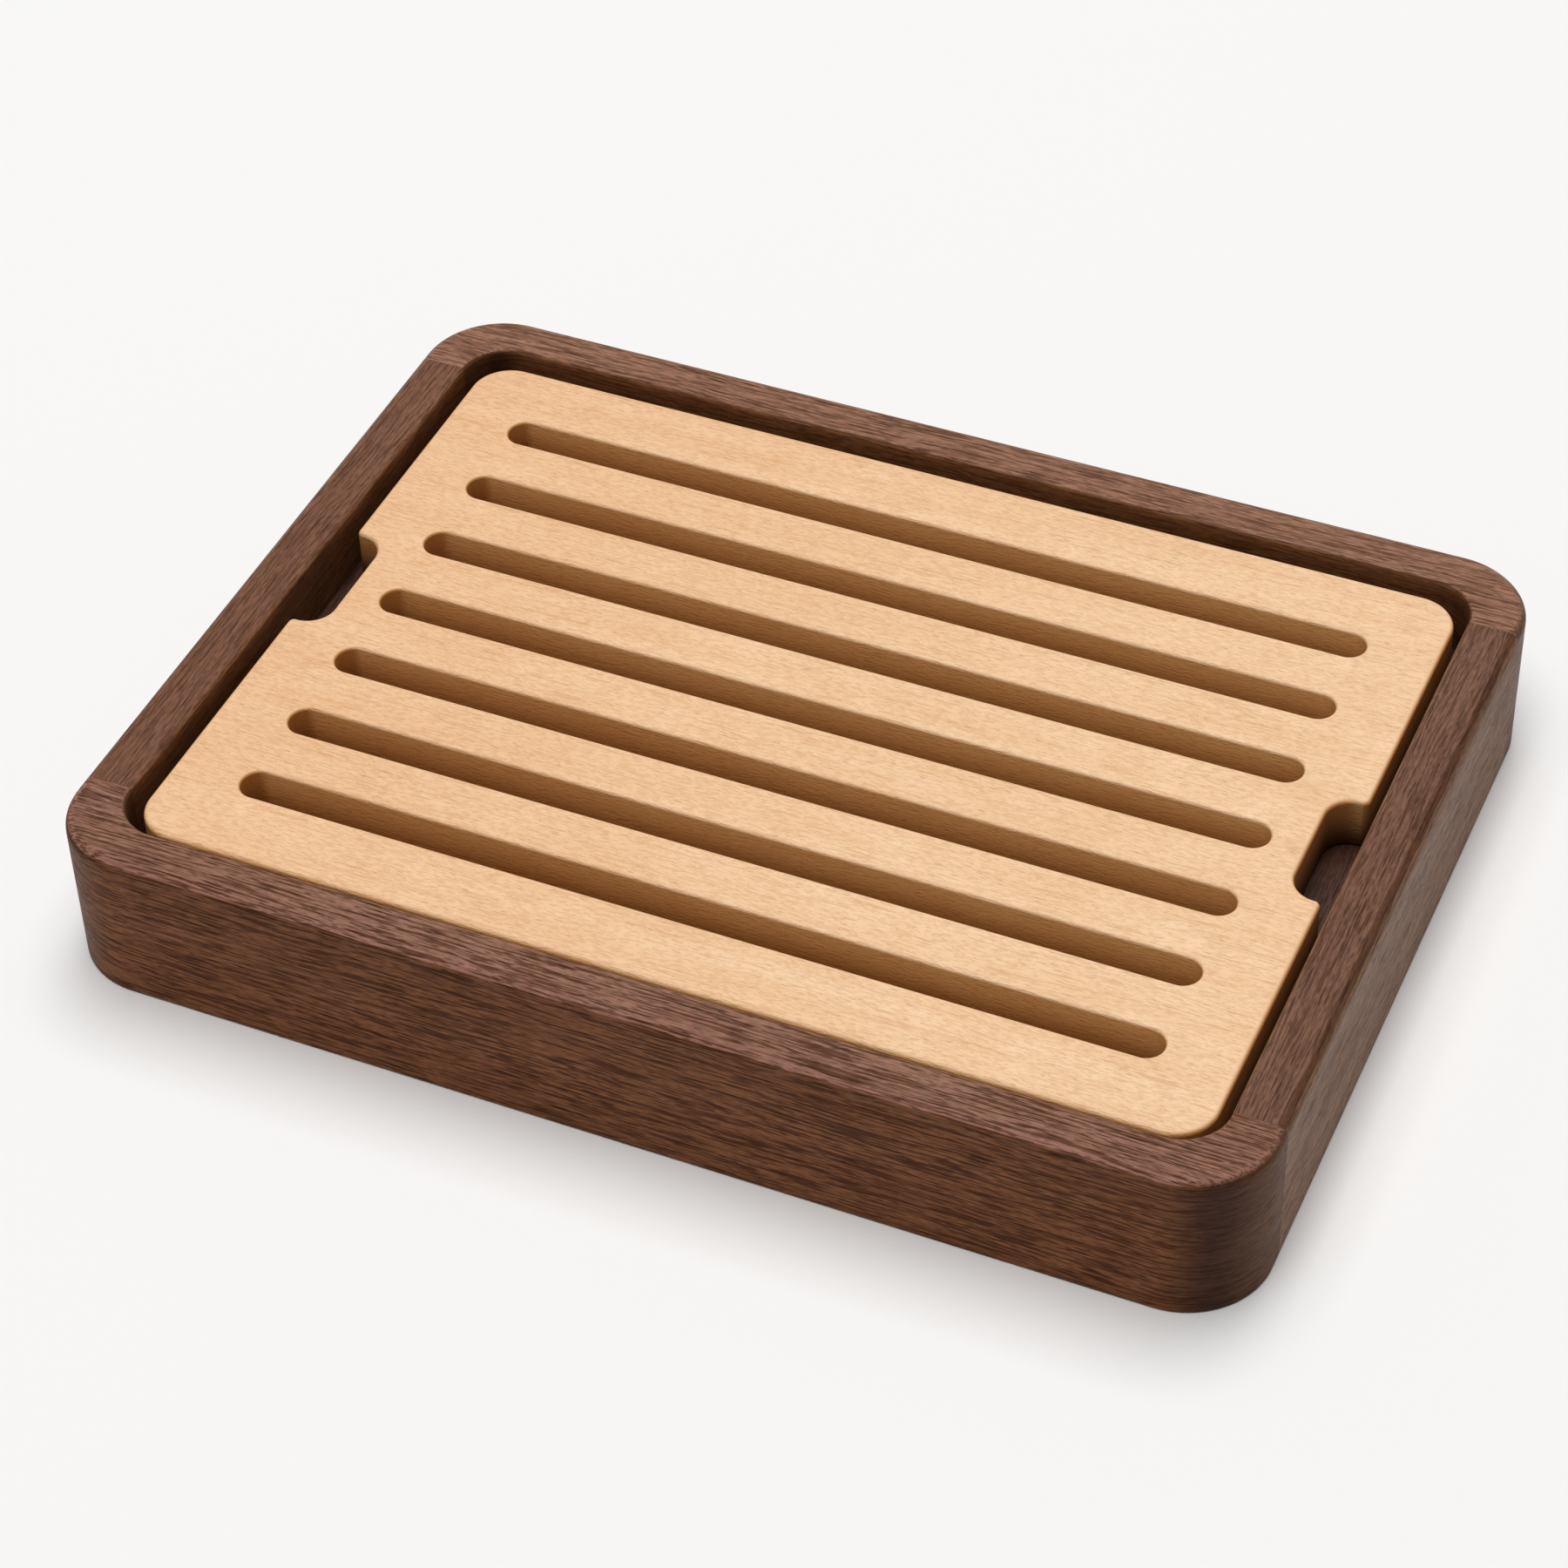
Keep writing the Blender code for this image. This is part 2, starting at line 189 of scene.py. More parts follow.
def arc(center_x, center_y, radius, start, end):
    """Points along an arc, with angles in degrees and both ends included."""
    angles = [math.radians(start + (end - start) * step / ARC_STEPS) for step in range(ARC_STEPS + 1)]
    return [(center_x + radius * math.cos(a), center_y + radius * math.sin(a)) for a in angles]


def rounded_rectangle(half_x, half_y, radius):
    """A rectangle about the origin with four rounded corners, counter-clockwise."""
    x = half_x - radius
    y = half_y - radius
    return (arc(x, y, radius, 0, 90) + arc(-x, y, radius, 90, 180)
            + arc(-x, -y, radius, 180, 270) + arc(x, -y, radius, 270, 360))


def tray_inside(tray):
    """Half the width and half the depth of the space between the rails."""
    return TRAY_HIGH.x - tray.rail, -TRAY_LOW.y - tray.rail


def seam_height(tray):
    """How far the glued seams lie from the middle of the tray."""
    return tray_inside(tray)[1] - tray.inner_corner


def long_rail_outline(tray, side):
    """The front (side -1) or back (side 1) rail with both of its corners."""
    inside_x, inside_y = tray_inside(tray)
    seam = seam_height(tray) + tray.seam / 2
    outer_x = TRAY_HIGH.x - tray.outer_corner
    outer_y = -TRAY_LOW.y - tray.outer_corner
    inner_x = inside_x - tray.inner_corner
    outline = [(TRAY_HIGH.x, seam)]
    outline += arc(outer_x, outer_y, tray.outer_corner, 0, 90)
    outline += arc(-outer_x, outer_y, tray.outer_corner, 90, 180)
    outline += [(-TRAY_HIGH.x, seam), (-inside_x, seam)]
    outline += arc(-inner_x, inside_y - tray.inner_corner, tray.inner_corner, 180, 90)[1:]
    outline += arc(inner_x, inside_y - tray.inner_corner, tray.inner_corner, 90, 0)[:-1]
    outline += [(inside_x, seam)]
    return [(x, side * y) for x, y in outline[::side]]


def short_rail_outline(tray, side):
    """The left (side -1) or right (side 1) rail, a straight bar between the seams."""
    end = seam_height(tray) - tray.seam / 2
    near = side * tray_inside(tray)[0]
    far = side * TRAY_HIGH.x
    return [(near, -end), (far, -end), (far, end), (near, end)]


def side_ledge_outline(tray, side):
    """A ledge along a short side, its outer corners rounded to fit the tray's."""
    inside_x, inside_y = tray_inside(tray)
    radius = tray.inner_corner - tray.fit
    center_x = inside_x - tray.inner_corner
    center_y = inside_y - tray.inner_corner
    end = inside_y - tray.fit
    outline = [(inside_x - tray.ledge, -end)]
    outline += arc(center_x, -center_y, radius, 270, 360)
    outline += arc(center_x, center_y, radius, 0, 90)
    outline += [(inside_x - tray.ledge, end)]
    return [(side * x, y) for x, y in outline[::side]]


def end_ledge_outline(tray, side):
    """A ledge along a long side, between the two side ledges."""
    inside_x, inside_y = tray_inside(tray)
    half_length = inside_x - tray.ledge - tray.fit
    near = side * (inside_y - tray.ledge)
    far = side * (inside_y - tray.fit)
    return [(-half_length, near), (half_length, near), (half_length, far), (-half_length, far)]


# Solids

def solid(name, outline, bottom, top):
    """A mesh object: the outline filled between two heights."""
    curve = bpy.data.curves.new(name + "_outline", "CURVE")
    curve.dimensions = "2D"
    curve.fill_mode = "BOTH"
    curve.extrude = (top - bottom) / 2
    spline = curve.splines.new("POLY")
    spline.points.add(len(outline) - 1)
    for point, (x, y) in zip(spline.points, outline):
        point.co = (x, y, 0, 1)
    spline.use_cyclic_u = True
    drawing = bpy.data.objects.new(name + "_outline", curve)
    bpy.context.scene.collection.objects.link(drawing)
    mesh = evaluated_mesh(drawing)
    bpy.data.objects.remove(drawing)
    bpy.data.curves.remove(curve)
    for vertex in mesh.vertices:
        vertex.co.z += (top + bottom) / 2
    cage = bmesh.new()
    cage.from_mesh(mesh)
    bmesh.ops.remove_doubles(cage, verts=cage.verts, dist=WELD_DISTANCE)
    bmesh.ops.dissolve_limit(cage, angle_limit=FLAT_ANGLE, verts=cage.verts, edges=cage.edges)
    bmesh.ops.recalc_face_normals(cage, faces=cage.faces)
    cage.to_mesh(mesh)
    cage.free()
    mesh.materials.clear()
    made = bpy.data.objects.new(name + "_blank", mesh)
    bpy.context.scene.collection.objects.link(made)
    return made


def evaluated_mesh(made):
    """The object's mesh with its modifiers, as a plain mesh."""
    bpy.context.view_layer.update()
    return bpy.data.meshes.new_from_object(made.evaluated_get(bpy.context.evaluated_depsgraph_get()))


def round_edges(blank, width, shares_of, steps):
    """Round the level edges, each by the share of the width that shares_of gives for its middle."""
    cage = bmesh.new()
    cage.from_mesh(blank.data)
    weights = cage.edges.layers.float.new("bevel_weight_edge")
    for edge in cage.edges:
        first, second = (vertex.co for vertex in edge.verts)
        level = abs(first.z - second.z) < WELD_DISTANCE
        if level and edge.calc_face_angle(0) > ROUNDED_ANGLE:
            edge[weights] = shares_of((first + second) / 2)
    cage.to_mesh(blank.data)
    cage.free()
    bevel = blank.modifiers.new("Rounded edges", "BEVEL")
    bevel.limit_method = "WEIGHT"
    bevel.width = width
    bevel.segments = steps


def reach(point, half_x, half_y, radius):
    """How far a point lies outside the rectangle on which the corners' centres lie."""
    return math.hypot(max(abs(point.x) - half_x + radius, 0), max(abs(point.y) - half_y + radius, 0))


def rail_round_shares(tray):
    """The outer top edge is rounded most, the inner top edge and the foot less, and the seams not."""
    seam = seam_height(tray)
    middle = (TRAY_LOW.z + TRAY_HIGH.z) / 2
    nearly_outside = tray.outer_corner - tray.outer_round / 2

    def share(point):
        if abs(abs(point.y) - seam) < tray.fit:
            return 0
        if reach(point, TRAY_HIGH.x, -TRAY_LOW.y, tray.outer_corner) > nearly_outside:
            return 1 if point.z > middle else tray.foot_round / tray.outer_round
        return tray.inner_round / tray.outer_round if point.z > middle else 0

    return share


def make_cutters(tray):
    """A collection of cutters, for the groove of the floor panel and the blind holes of the dowels."""
    cutters = bpy.data.collections.new("Cutters")
    inside_x, inside_y = tray_inside(tray)
    outline = rounded_rectangle(inside_x + tray.groove, inside_y + tray.groove,
                                tray.inner_corner + tray.groove)
    cutters.objects.link(solid("groove", outline, PANEL_LOW.z - tray.fit, PANEL_HIGH.z + tray.fit))
    for name in DOWELS:
        cutters.objects.link(dowel_hole(name, tray.fit))
    return cutters


def dowel_hole(name, fit):
    """A round bar along Y, a little longer and thicker than the dowel that lies there."""
    low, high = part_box(name)
    mesh = bpy.data.meshes.new(name + "_hole")
    cage = bmesh.new()
    radius = (high.z - low.z) / 2 + fit
    bmesh.ops.create_cone(cage, cap_ends=True, segments=DOWEL_HOLE_SIDES, radius1=radius,
                          radius2=radius, depth=high.y - low.y + 2 * fit)
    for vertex in cage.verts:
        vertex.co = Vector((vertex.co.x, -vertex.co.z, vertex.co.y)) + (low + high) / 2
    cage.to_mesh(mesh)
    cage.free()
    hole = bpy.data.objects.new(name + "_hole", mesh)
    bpy.context.scene.collection.objects.link(hole)
    return hole


def cut_groove_and_holes(rail, cutters):
    """Cut the groove and the holes out of a rail."""
    cut = rail.modifiers.new("Groove and dowel holes", "BOOLEAN")
    cut.operation = "DIFFERENCE"
    cut.solver = "EXACT"
    cut.operand_type = "COLLECTION"
    cut.collection = cutters


def put_cutters_away(cutters):
    """Remove the cutters once the rails are plain meshes."""
    for cutter in list(cutters.objects):
        bpy.data.objects.remove(cutter)
    bpy.data.collections.remove(cutters)


def finish_piece(name, blank, body, material, nodes, grain_along_y=False, wall_at=None, calm=0.0):
    """Turn a blank into a plain, smooth-shaded mesh at the origin that stands for its CAD nodes."""
    mesh = evaluated_mesh(blank)
    bpy.data.objects.remove(blank)
    mesh.name = name
    cage = bmesh.new()
    cage.from_mesh(mesh)
    bmesh.ops.remove_doubles(cage, verts=cage.verts, dist=WELD_DISTANCE)
    bmesh.ops.recalc_face_normals(cage, faces=cage.faces)
    cage.to_mesh(mesh)
    cage.free()
    mesh.materials.clear()
    mesh.materials.append(material)
    mesh.shade_smooth()
    mesh.set_sharp_from_angle(angle=SHARP_ANGLE)
    shaped = bpy.data.objects.new(name, mesh)
    bpy.context.scene.collection.objects.link(shaped)
    even = shaped.modifiers.new("Flat faces stay flat", "WEIGHTED_NORMAL")
    even.keep_sharp = True
    shaped.data = evaluated_mesh(shaped)
    shaped.modifiers.clear()
    mark_points(shaped.data, grain_along_y, wall_at, calm)
    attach(shaped, body)
    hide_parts(*nodes)


def mark_points(mesh, grain_along_y, wall_at, calm):
    """Write on each point how far it faces up and along the grain, and how calm the wood's figure is there.

    The figure is loudest where calm is 0, and quietest where it is 1, as on end grain. For a point, wall_at
    gives its place for the grain on a wall, the mark of that wall, and how calm the wall is.
    """
    points = [vertex.co.copy() for vertex in mesh.vertices]
    upward = [0.0] * len(points)
    end_grain = [0.0] * len(points)
    for face in mesh.polygons:
        for point in face.vertices:
            upward[point] = max(upward[point], face.normal.z)
            if not grain_along_y:
                end_grain[point] = max(end_grain[point], face.normal.x, -LEFT_END * face.normal.x)
    marks = {"upward": upward, "end_grain": end_grain, "calm": [calm + (1 - calm) * end for end in end_grain]}
    if wall_at:
        places, marks["wall"], wall_calms = zip(*map(wall_at, points))
        marks["calm"] = [quiet * up + max(quiet, on_wall) * (1 - up)
                         for quiet, on_wall, up in zip(marks["calm"], wall_calms, upward)]
        wall_place = mesh.attributes.new("wall_place", "FLOAT_VECTOR", "POINT")
        wall_place.data.foreach_set("vector", [value for place in places for value in place])
    for name, values in marks.items():
        mesh.attributes.new(name, "FLOAT", "POINT").data.foreach_set("value", values)


def rail_walls(tray):
    """A function that lays a rail's walls flat, so that the grain runs on round the corners.

    It gives a point's place along, across and up the wall, the mark of the wall, and how calm it is.
    """
    inside_x, inside_y = tray_inside(tray)
    outer_wall = (TRAY_HIGH.x, -TRAY_LOW.y, tray.outer_corner)
    inner_wall = (inside_x, inside_y, tray.inner_corner)
    rounding_reach = 1.1 * tray.outer_round  # a little more than the rounding, to take in all its points

    def wall_at(point):
        outside = reach(point, *outer_wall) > tray.outer_corner - rounding_reach
        half_x, half_y, radius = outer_wall if outside else inner_wall
        past_x = max(abs(point.x) - half_x + radius, 0)
        past_y = abs(point.y) - half_y + radius
        along = min(abs(point.x), half_x - radius)
        if past_x:
            along += radius * math.atan2(past_x, max(past_y, 0)) + max(-past_y, 0)
        across = half_y - radius + math.hypot(past_x, max(past_y, 0))
        place = (math.copysign(along, point.x), math.copysign(across, point.y), point.z)
        return (place, OUTER_WALL, 0.0) if outside else (place, INNER_WALL, INNER_WALL_CALM)

    return wall_at


# Node trees

class Bench:
    """Adds nodes to a tree, with their inputs given by name or number."""

    def __init__(self, tree):
        self.tree = tree

    def add(self, kind, inputs=None, **settings):
        """Add a node, set its settings and inputs, and return it."""
        node = self.tree.nodes.new(kind)
        for key, value in settings.items():
            setattr(node, key, value)
        for key, value in (inputs or {}).items():
            socket = node.inputs[key]
            if isinstance(value, bpy.types.NodeSocket):
                self.tree.links.new(value, socket)
            else:
                socket.default_value = value
        return node

    def math(self, operation, *values):
        """A math node's result."""
        return self.add("ShaderNodeMath", dict(enumerate(values)), operation=operation).outputs[0]

    def vector_math(self, operation, first, second):
        """A vector math node's result."""
        return self.add("ShaderNodeVectorMath", {0: first, 1: second}, operation=operation).outputs[0]

    def vector(self, x, y, z):
        """A vector from three numbers or sockets."""
        return self.add("ShaderNodeCombineXYZ", {0: x, 1: y, 2: z}).outputs[0]

    def mark(self, name):
        """A number that is written on the points of the mesh."""
        return self.add("ShaderNodeAttribute", attribute_name=name).outputs["Fac"]

    def cells(self, place, along, across):
        """The place, counted in cells as long along the grain and as wide across it as given."""
        return self.vector_math("MULTIPLY", place, (1 / along, 1 / across, 1 / across))

    def noise(self, place, along, across, detail=2.0, roughness=0.5, output="Fac"):
        """Noise whose spots are as long along the grain and as wide across it as given."""
        spots = {"Vector": self.cells(place, along, across), "Scale": 1.0, "Detail": detail,
                 "Roughness": roughness}
        return self.add("ShaderNodeTexNoise", spots).outputs[output]

    def warp(self, place, along, across, distance):
        """The place, pushed about across the grain by noise as far as the distance."""
        noise = self.noise(place, along, across, detail=1.0, output="Color")
        push = self.vector_math("SUBTRACT", noise, (0.5, 0.5, 0.5))
        push = self.vector_math("MULTIPLY", push, (0, distance, distance))
        return self.vector_math("ADD", place, push)

    def dashes(self, place, along, across, width):
        """Separate dashes, one in each cell of the given size, as wide as the given share of the cell."""
        cells = {"Vector": self.cells(place, along, across), "Scale": 1.0}
        far = self.add("ShaderNodeTexVoronoi", cells).outputs["Distance"]
        return self.ramp(far, width, self.math("MULTIPLY", width, 0.5))

    def ramp(self, value, low, high, to_low=0.0, to_high=1.0):
        """The value, taken smoothly from one range to another and held at its ends."""
        ranges = {"Value": value, "From Min": low, "From Max": high, "To Min": to_low, "To Max": to_high}
        return self.add("ShaderNodeMapRange", ranges, interpolation_type="SMOOTHSTEP").outputs[0]

    def mix(self, factor, first, second, blend="MIX"):
        """Two colours, mixed by the factor."""
        node = self.add("ShaderNodeMix", {0: factor, 6: first, 7: second}, data_type="RGBA", blend_type=blend)
        return node.outputs[2]


# The slotted board, made with Geometry Nodes

def edge_profile_group():
    """A node group that draws an edge in section: flat band, upper rounding, wall, lower rounding, flat band.

    X points out of the wood and Y down, as they come out when the section is swept along a loop.
    """
    tree = bpy.data.node_groups.new("Edge profile", "GeometryNodeTree")
    for name in ("Thickness", "Upper Rounding", "Lower Rounding", "Flat Band"):
        tree.interface.new_socket(name, in_out="INPUT", socket_type="NodeSocketFloat")
    tree.interface.new_socket("Steps", in_out="INPUT", socket_type="NodeSocketInt")
    tree.interface.new_socket("Profile", in_out="OUTPUT", socket_type="NodeSocketGeometry")
    bench = Bench(tree)
    given = bench.add("NodeGroupInput").outputs
    thickness = given["Thickness"]
    upper = given["Upper Rounding"]
    lower = given["Lower Rounding"]
    upper_end = bench.math("MULTIPLY", bench.math("ADD", upper, given["Flat Band"]), -1.0)
    lower_end = bench.math("MULTIPLY", bench.math("ADD", lower, given["Flat Band"]), -1.0)
    places = bench.add("GeometryNodeIndexSwitch", data_type="VECTOR")
    radii = bench.add("GeometryNodeIndexSwitch", data_type="FLOAT")
    for switch in (places, radii):
        switch.index_switch_items.new()
        switch.index_switch_items.new()
        tree.links.new(bench.add("GeometryNodeInputIndex").outputs[0], switch.inputs[0])
    corners = [bench.vector(upper_end, 0.0, 0.0), bench.vector(0.0, 0.0, 0.0),
               bench.vector(0.0, thickness, 0.0), bench.vector(lower_end, thickness, 0.0)]
    for number, (corner, radius) in enumerate(zip(corners, (0.0, upper, lower, 0.0)), 1):
        tree.links.new(corner, places.inputs[number])
        if isinstance(radius, bpy.types.NodeSocket):
            tree.links.new(radius, radii.inputs[number])
    line = bench.add("GeometryNodeMeshLine", {"Count": len(corners)})
    curve = bench.add("GeometryNodeMeshToCurve", {"Mesh": line.outputs[0]})
    placed = bench.add("GeometryNodeSetPosition", {"Geometry": curve.outputs[0],
                                                   "Position": places.outputs[0]})
    rounded = bench.add("GeometryNodeFilletCurve", {"Curve": placed.outputs[0], "Radius": radii.outputs[0],
                                                    "Count": given["Steps"]}, mode="POLY")
    bench.add("NodeGroupOutput", {0: rounded.outputs[0]})
    return tree


def slotted_board_tree():
    """A tree that turns the board's outline into a solid with a row of slots and rounded edges."""
    tree = bpy.data.node_groups.new("Slotted board", "GeometryNodeTree")
    sockets = tree.interface
    sockets.new_socket("Outline", in_out="INPUT", socket_type="NodeSocketGeometry")
    for name in ("Top", "Thickness", "Slot Length", "Slot Width", "Slot Pitch", "Slot Rounding",
                 "Rim Rounding", "Foot Rounding", "Flat Band"):
        sockets.new_socket(name, in_out="INPUT", socket_type="NodeSocketFloat")
    for name in ("Slots", "Corner Steps", "Rounding Steps"):
        sockets.new_socket(name, in_out="INPUT", socket_type="NodeSocketInt")
    sockets.new_socket("Material", in_out="INPUT", socket_type="NodeSocketMaterial")
    sockets.new_socket("Board", in_out="OUTPUT", socket_type="NodeSocketGeometry")
    bench = Bench(tree)
    given = bench.add("NodeGroupInput").outputs

    corner_radius = bench.add("GeometryNodeInputRadius").outputs[0]
    outline = bench.add("GeometryNodeFilletCurve", {"Curve": given["Outline"], "Radius": corner_radius,
                                                    "Count": given["Corner Steps"]}, mode="POLY")

    pitches_to_first = bench.math("MULTIPLY", bench.math("SUBTRACT", given["Slots"], 1.0), -0.5)
    first_slot = bench.vector(0.0, bench.math("MULTIPLY", pitches_to_first, given["Slot Pitch"]), 0.0)
    row = bench.add("GeometryNodeMeshLine", {"Count": given["Slots"], "Start Location": first_slot,
                                             "Offset": bench.vector(0.0, given["Slot Pitch"], 0.0)})
    box = bench.add("GeometryNodeCurvePrimitiveQuadrilateral", {"Width": given["Slot Length"],
                                                                "Height": given["Slot Width"]})
    slot_radius = bench.math("MULTIPLY", given["Slot Width"], NEARLY_HALF)
    slot = bench.add("GeometryNodeFilletCurve", {"Curve": box.outputs[0], "Radius": slot_radius,
                                                 "Count": given["Corner Steps"]}, mode="POLY")
    slots = bench.add("GeometryNodeInstanceOnPoints", {"Points": row.outputs[0], "Instance": slot.outputs[0]})
    slots = bench.add("GeometryNodeRealizeInstances", {"Geometry": slots.outputs[0]})
    slots = bench.add("GeometryNodeReverseCurve", {"Curve": slots.outputs[0]})

    walls = []
    profile_tree = edge_profile_group()
    for loop, rounding in ((outline, "Rim Rounding"), (slots, "Slot Rounding")):
        profile = bench.add("GeometryNodeGroup", node_tree=profile_tree)
        for name, source in (("Thickness", "Thickness"), ("Upper Rounding", rounding),
                             ("Lower Rounding", "Foot Rounding"), ("Flat Band", "Flat Band"),
                             ("Steps", "Rounding Steps")):
            tree.links.new(given[source], profile.inputs[name])
        upright = bench.add("GeometryNodeSetCurveNormal", {"Curve": loop.outputs[0]}, mode="Z_UP")
        wall = bench.add("GeometryNodeCurveToMesh", {"Curve": upright.outputs[0],
                                                     "Profile Curve": profile.outputs[0]})
        walls.append(wall.outputs[0])
    sides = bench.add("GeometryNodeJoinGeometry")
    for wall in walls:
        tree.links.new(wall, sides.inputs[0])

    neighbours = bench.add("GeometryNodeInputMeshEdgeNeighbors").outputs[0]
    open_edge = bench.add("FunctionNodeCompare", {"A": neighbours, "B": 1.0}, data_type="FLOAT",
                          operation="EQUAL")
    height = bench.add("ShaderNodeSeparateXYZ", {0: bench.add("GeometryNodeInputPosition").outputs[0]})
    middle = bench.math("MULTIPLY", given["Thickness"], -0.5)
    foot = bench.math("MULTIPLY", given["Thickness"], -1.0)
    solid_parts = [sides.outputs[0]]
    for operation, level in (("GREATER_THAN", 0.0), ("LESS_THAN", foot)):
        this_side = bench.math(operation, height.outputs[2], middle)
        rim = bench.math("MULTIPLY", open_edge.outputs[0], this_side)
        loops = bench.add("GeometryNodeMeshToCurve", {"Mesh": sides.outputs[0], "Selection": rim})
        cap = bench.add("GeometryNodeFillCurve", {"Curve": loops.outputs[0]}, mode="NGONS")
        cap = bench.add("GeometryNodeSetPosition", {"Geometry": cap.outputs[0],
                                                    "Offset": bench.vector(0.0, 0.0, level)})
        solid_parts.append(cap.outputs[0])
    whole = bench.add("GeometryNodeJoinGeometry")
    for part in solid_parts:
        tree.links.new(part, whole.inputs[0])
    closed = bench.add("GeometryNodeMergeByDistance", {"Geometry": whole.outputs[0],
                                                       "Distance": WELD_DISTANCE})
    lifted = bench.add("GeometryNodeSetPosition", {"Geometry": closed.outputs[0],
                                                   "Offset": bench.vector(0.0, 0.0, given["Top"])})
    realized = bench.add("GeometryNodeRealizeInstances", {"Geometry": lifted.outputs[0]})
    dressed = bench.add("GeometryNodeSetMaterial", {"Geometry": realized.outputs[0],
                                                    "Material": given["Material"]})
    bench.add("NodeGroupOutput", {0: dressed.outputs[0]})
    return tree


def board_outline(board):
    """The board's corner points, seen from above and counter-clockwise, each with its radius."""
    x = BOARD_HIGH.x
    y = BOARD_HIGH.y
    front = board.notch_shift - board.notch_length / 2
    back = board.notch_shift + board.notch_length / 2
    deep = x - board.notch_depth
    right = [(x, -y, board.corner), (x, front, board.notch_outer), (deep, front, board.notch_inner),
             (deep, back, board.notch_inner), (x, back, board.notch_outer), (x, y, board.corner)]
    return right + [(-px, py, radius) for px, py, radius in reversed(right)]


def slot_pitch(board):
    """How far the middles of the slots lie from each other."""
    return (BOARD_HIGH.y - BOARD_LOW.y) / (board.slots + 1)


def board_walls(board):
    """A function that tells on which of the board's walls a point lies.

    It gives the point's own place, the mark of the wall, and how calm the figure is there.
    """
    slots_x = BOARD_HIGH.x - board.slot_margin + board.slot_round
    slots_y = (board.slots - 1) / 2 * slot_pitch(board) + board.slot_width
    notch_reach = board.notch_length / 2 + 2 * board.notch_outer

    def wall_at(point):
        wall = ON_LONG_SIDE
        if abs(point.x) <= slots_x and abs(point.y) <= slots_y:
            wall = IN_SLOT
        elif abs(point.y - board.notch_shift) < notch_reach:
            wall = IN_NOTCH
        elif abs(point.x) > BOARD_HIGH.x - board.corner / 2:
            wall = ON_SHORT_SIDE
        return point, wall, BOARD_WALL_CALM

    return wall_at


def make_board(settings):
    """The slotted board: its outline as a curve, and the tree that gives it slots, thickness and edges."""
    board = settings.board
    material = wood_material("maple", maple_pattern(settings.wood), BOARD_SHIFT, board_tint)
    points = board_outline(board)
    curve = bpy.data.curves.new("board_outline", "CURVE")
    curve.dimensions = "3D"
    spline = curve.splines.new("POLY")
    spline.points.add(len(points) - 1)
    for point, (x, y, radius) in zip(spline.points, points):
        point.co = (x, y, 0, 1)
        point.radius = radius
    spline.use_cyclic_u = True
    blank = bpy.data.objects.new("board_blank", curve)
    bpy.context.scene.collection.objects.link(blank)
    tree = slotted_board_tree()
    nodes = blank.modifiers.new("Slotted board", "NODES")
    nodes.node_group = tree
    values = {
        "Top": BOARD_HIGH.z,
        "Thickness": BOARD_HIGH.z - BOARD_LOW.z,
        "Slot Length": 2 * (BOARD_HIGH.x - board.slot_margin),
        "Slot Width": board.slot_width,
        "Slot Pitch": slot_pitch(board),
        "Slot Rounding": board.slot_round,
        "Rim Rounding": board.rim_round,
        "Foot Rounding": board.foot_round,
        "Flat Band": board.rim_round * FLAT_BAND,
        "Slots": board.slots,
        "Corner Steps": BOARD_CORNER_STEPS,
        "Rounding Steps": BOARD_ROUNDING_STEPS,
        "Material": material,
    }
    for socket in tree.interface.items_tree:
        if socket.name in values:
            nodes[socket.identifier] = values[socket.name]
    finish_piece("maple_board", blank, "grid", material, ["slotted_grid"],
                 wall_at=board_walls(board))


# Woods. The patterns are drawn in millimetres, with the grain along X.

MILLIMETRES = 1000  # in a metre
RELIEF = 0.0002  # depth of the grain's relief, in metres
PLAIN_IOR = 1.28  # of the oil on most pieces
VIEWPORT_BROWN = (0.5, 0.3, 0.2)
WHITE = (1.0, 1.0, 1.0)

# How strongly each mark of the walnut shows
WALNUT_BANDS = 0.35
WALNUT_VEINS = 0.90
WALNUT_PORES = 0.75
WALNUT_SHORT_PORES = 0.7  # beside the long ones
WALNUT_PORE_WIDTHS = (0.28, 0.35)  # least and most, as shares of a cell that holds one pore
WALNUT_CALMING = 0.7  # the share of its pores and veins that calm walnut loses
WALNUT_FIBRE = (0.80, 1.20)  # how dark and how light the fibres get
WALNUT_ROUGHNESS = (0.42, 0.50)  # beside the bands and in them
WALNUT_PORE_ROUGHNESS = 0.25
WALNUT_FIBRE_HEIGHT = 0.25

# How strongly each mark of the maple shows
MAPLE_CLOUDS = 0.24
MAPLE_BANDS = 0.22
MAPLE_CURL = 0.12
MAPLE_STREAKS = 0.38
MAPLE_FLECKS = 0.42
MAPLE_GRIT = 0.36
MAPLE_SPECKS = 0.40
MAPLE_FLECK_WIDTHS = (0.16, 0.32)  # least and most, as shares of a cell that holds one fleck
MAPLE_SPECK_WIDTH = 0.34  # also a share of its cell
MAPLE_ROUGHNESS = (0.46, 0.54)  # beside the clouds and in them
MAPLE_FLECK_ROUGHNESS = 0.10
MAPLE_FLECK_HEIGHT = -0.3
MAPLE_GRIT_HEIGHT = -0.4
# The maple turns slowly from one tone on the left to another on the right.
MAPLE_LEFT_TONE = (0.95, 0.92, 0.90)
MAPLE_RIGHT_TONE = (0.99, 1.02, 1.05)
MAPLE_TONE_REACH = 150  # millimetres from the middle to where each side has its full tone
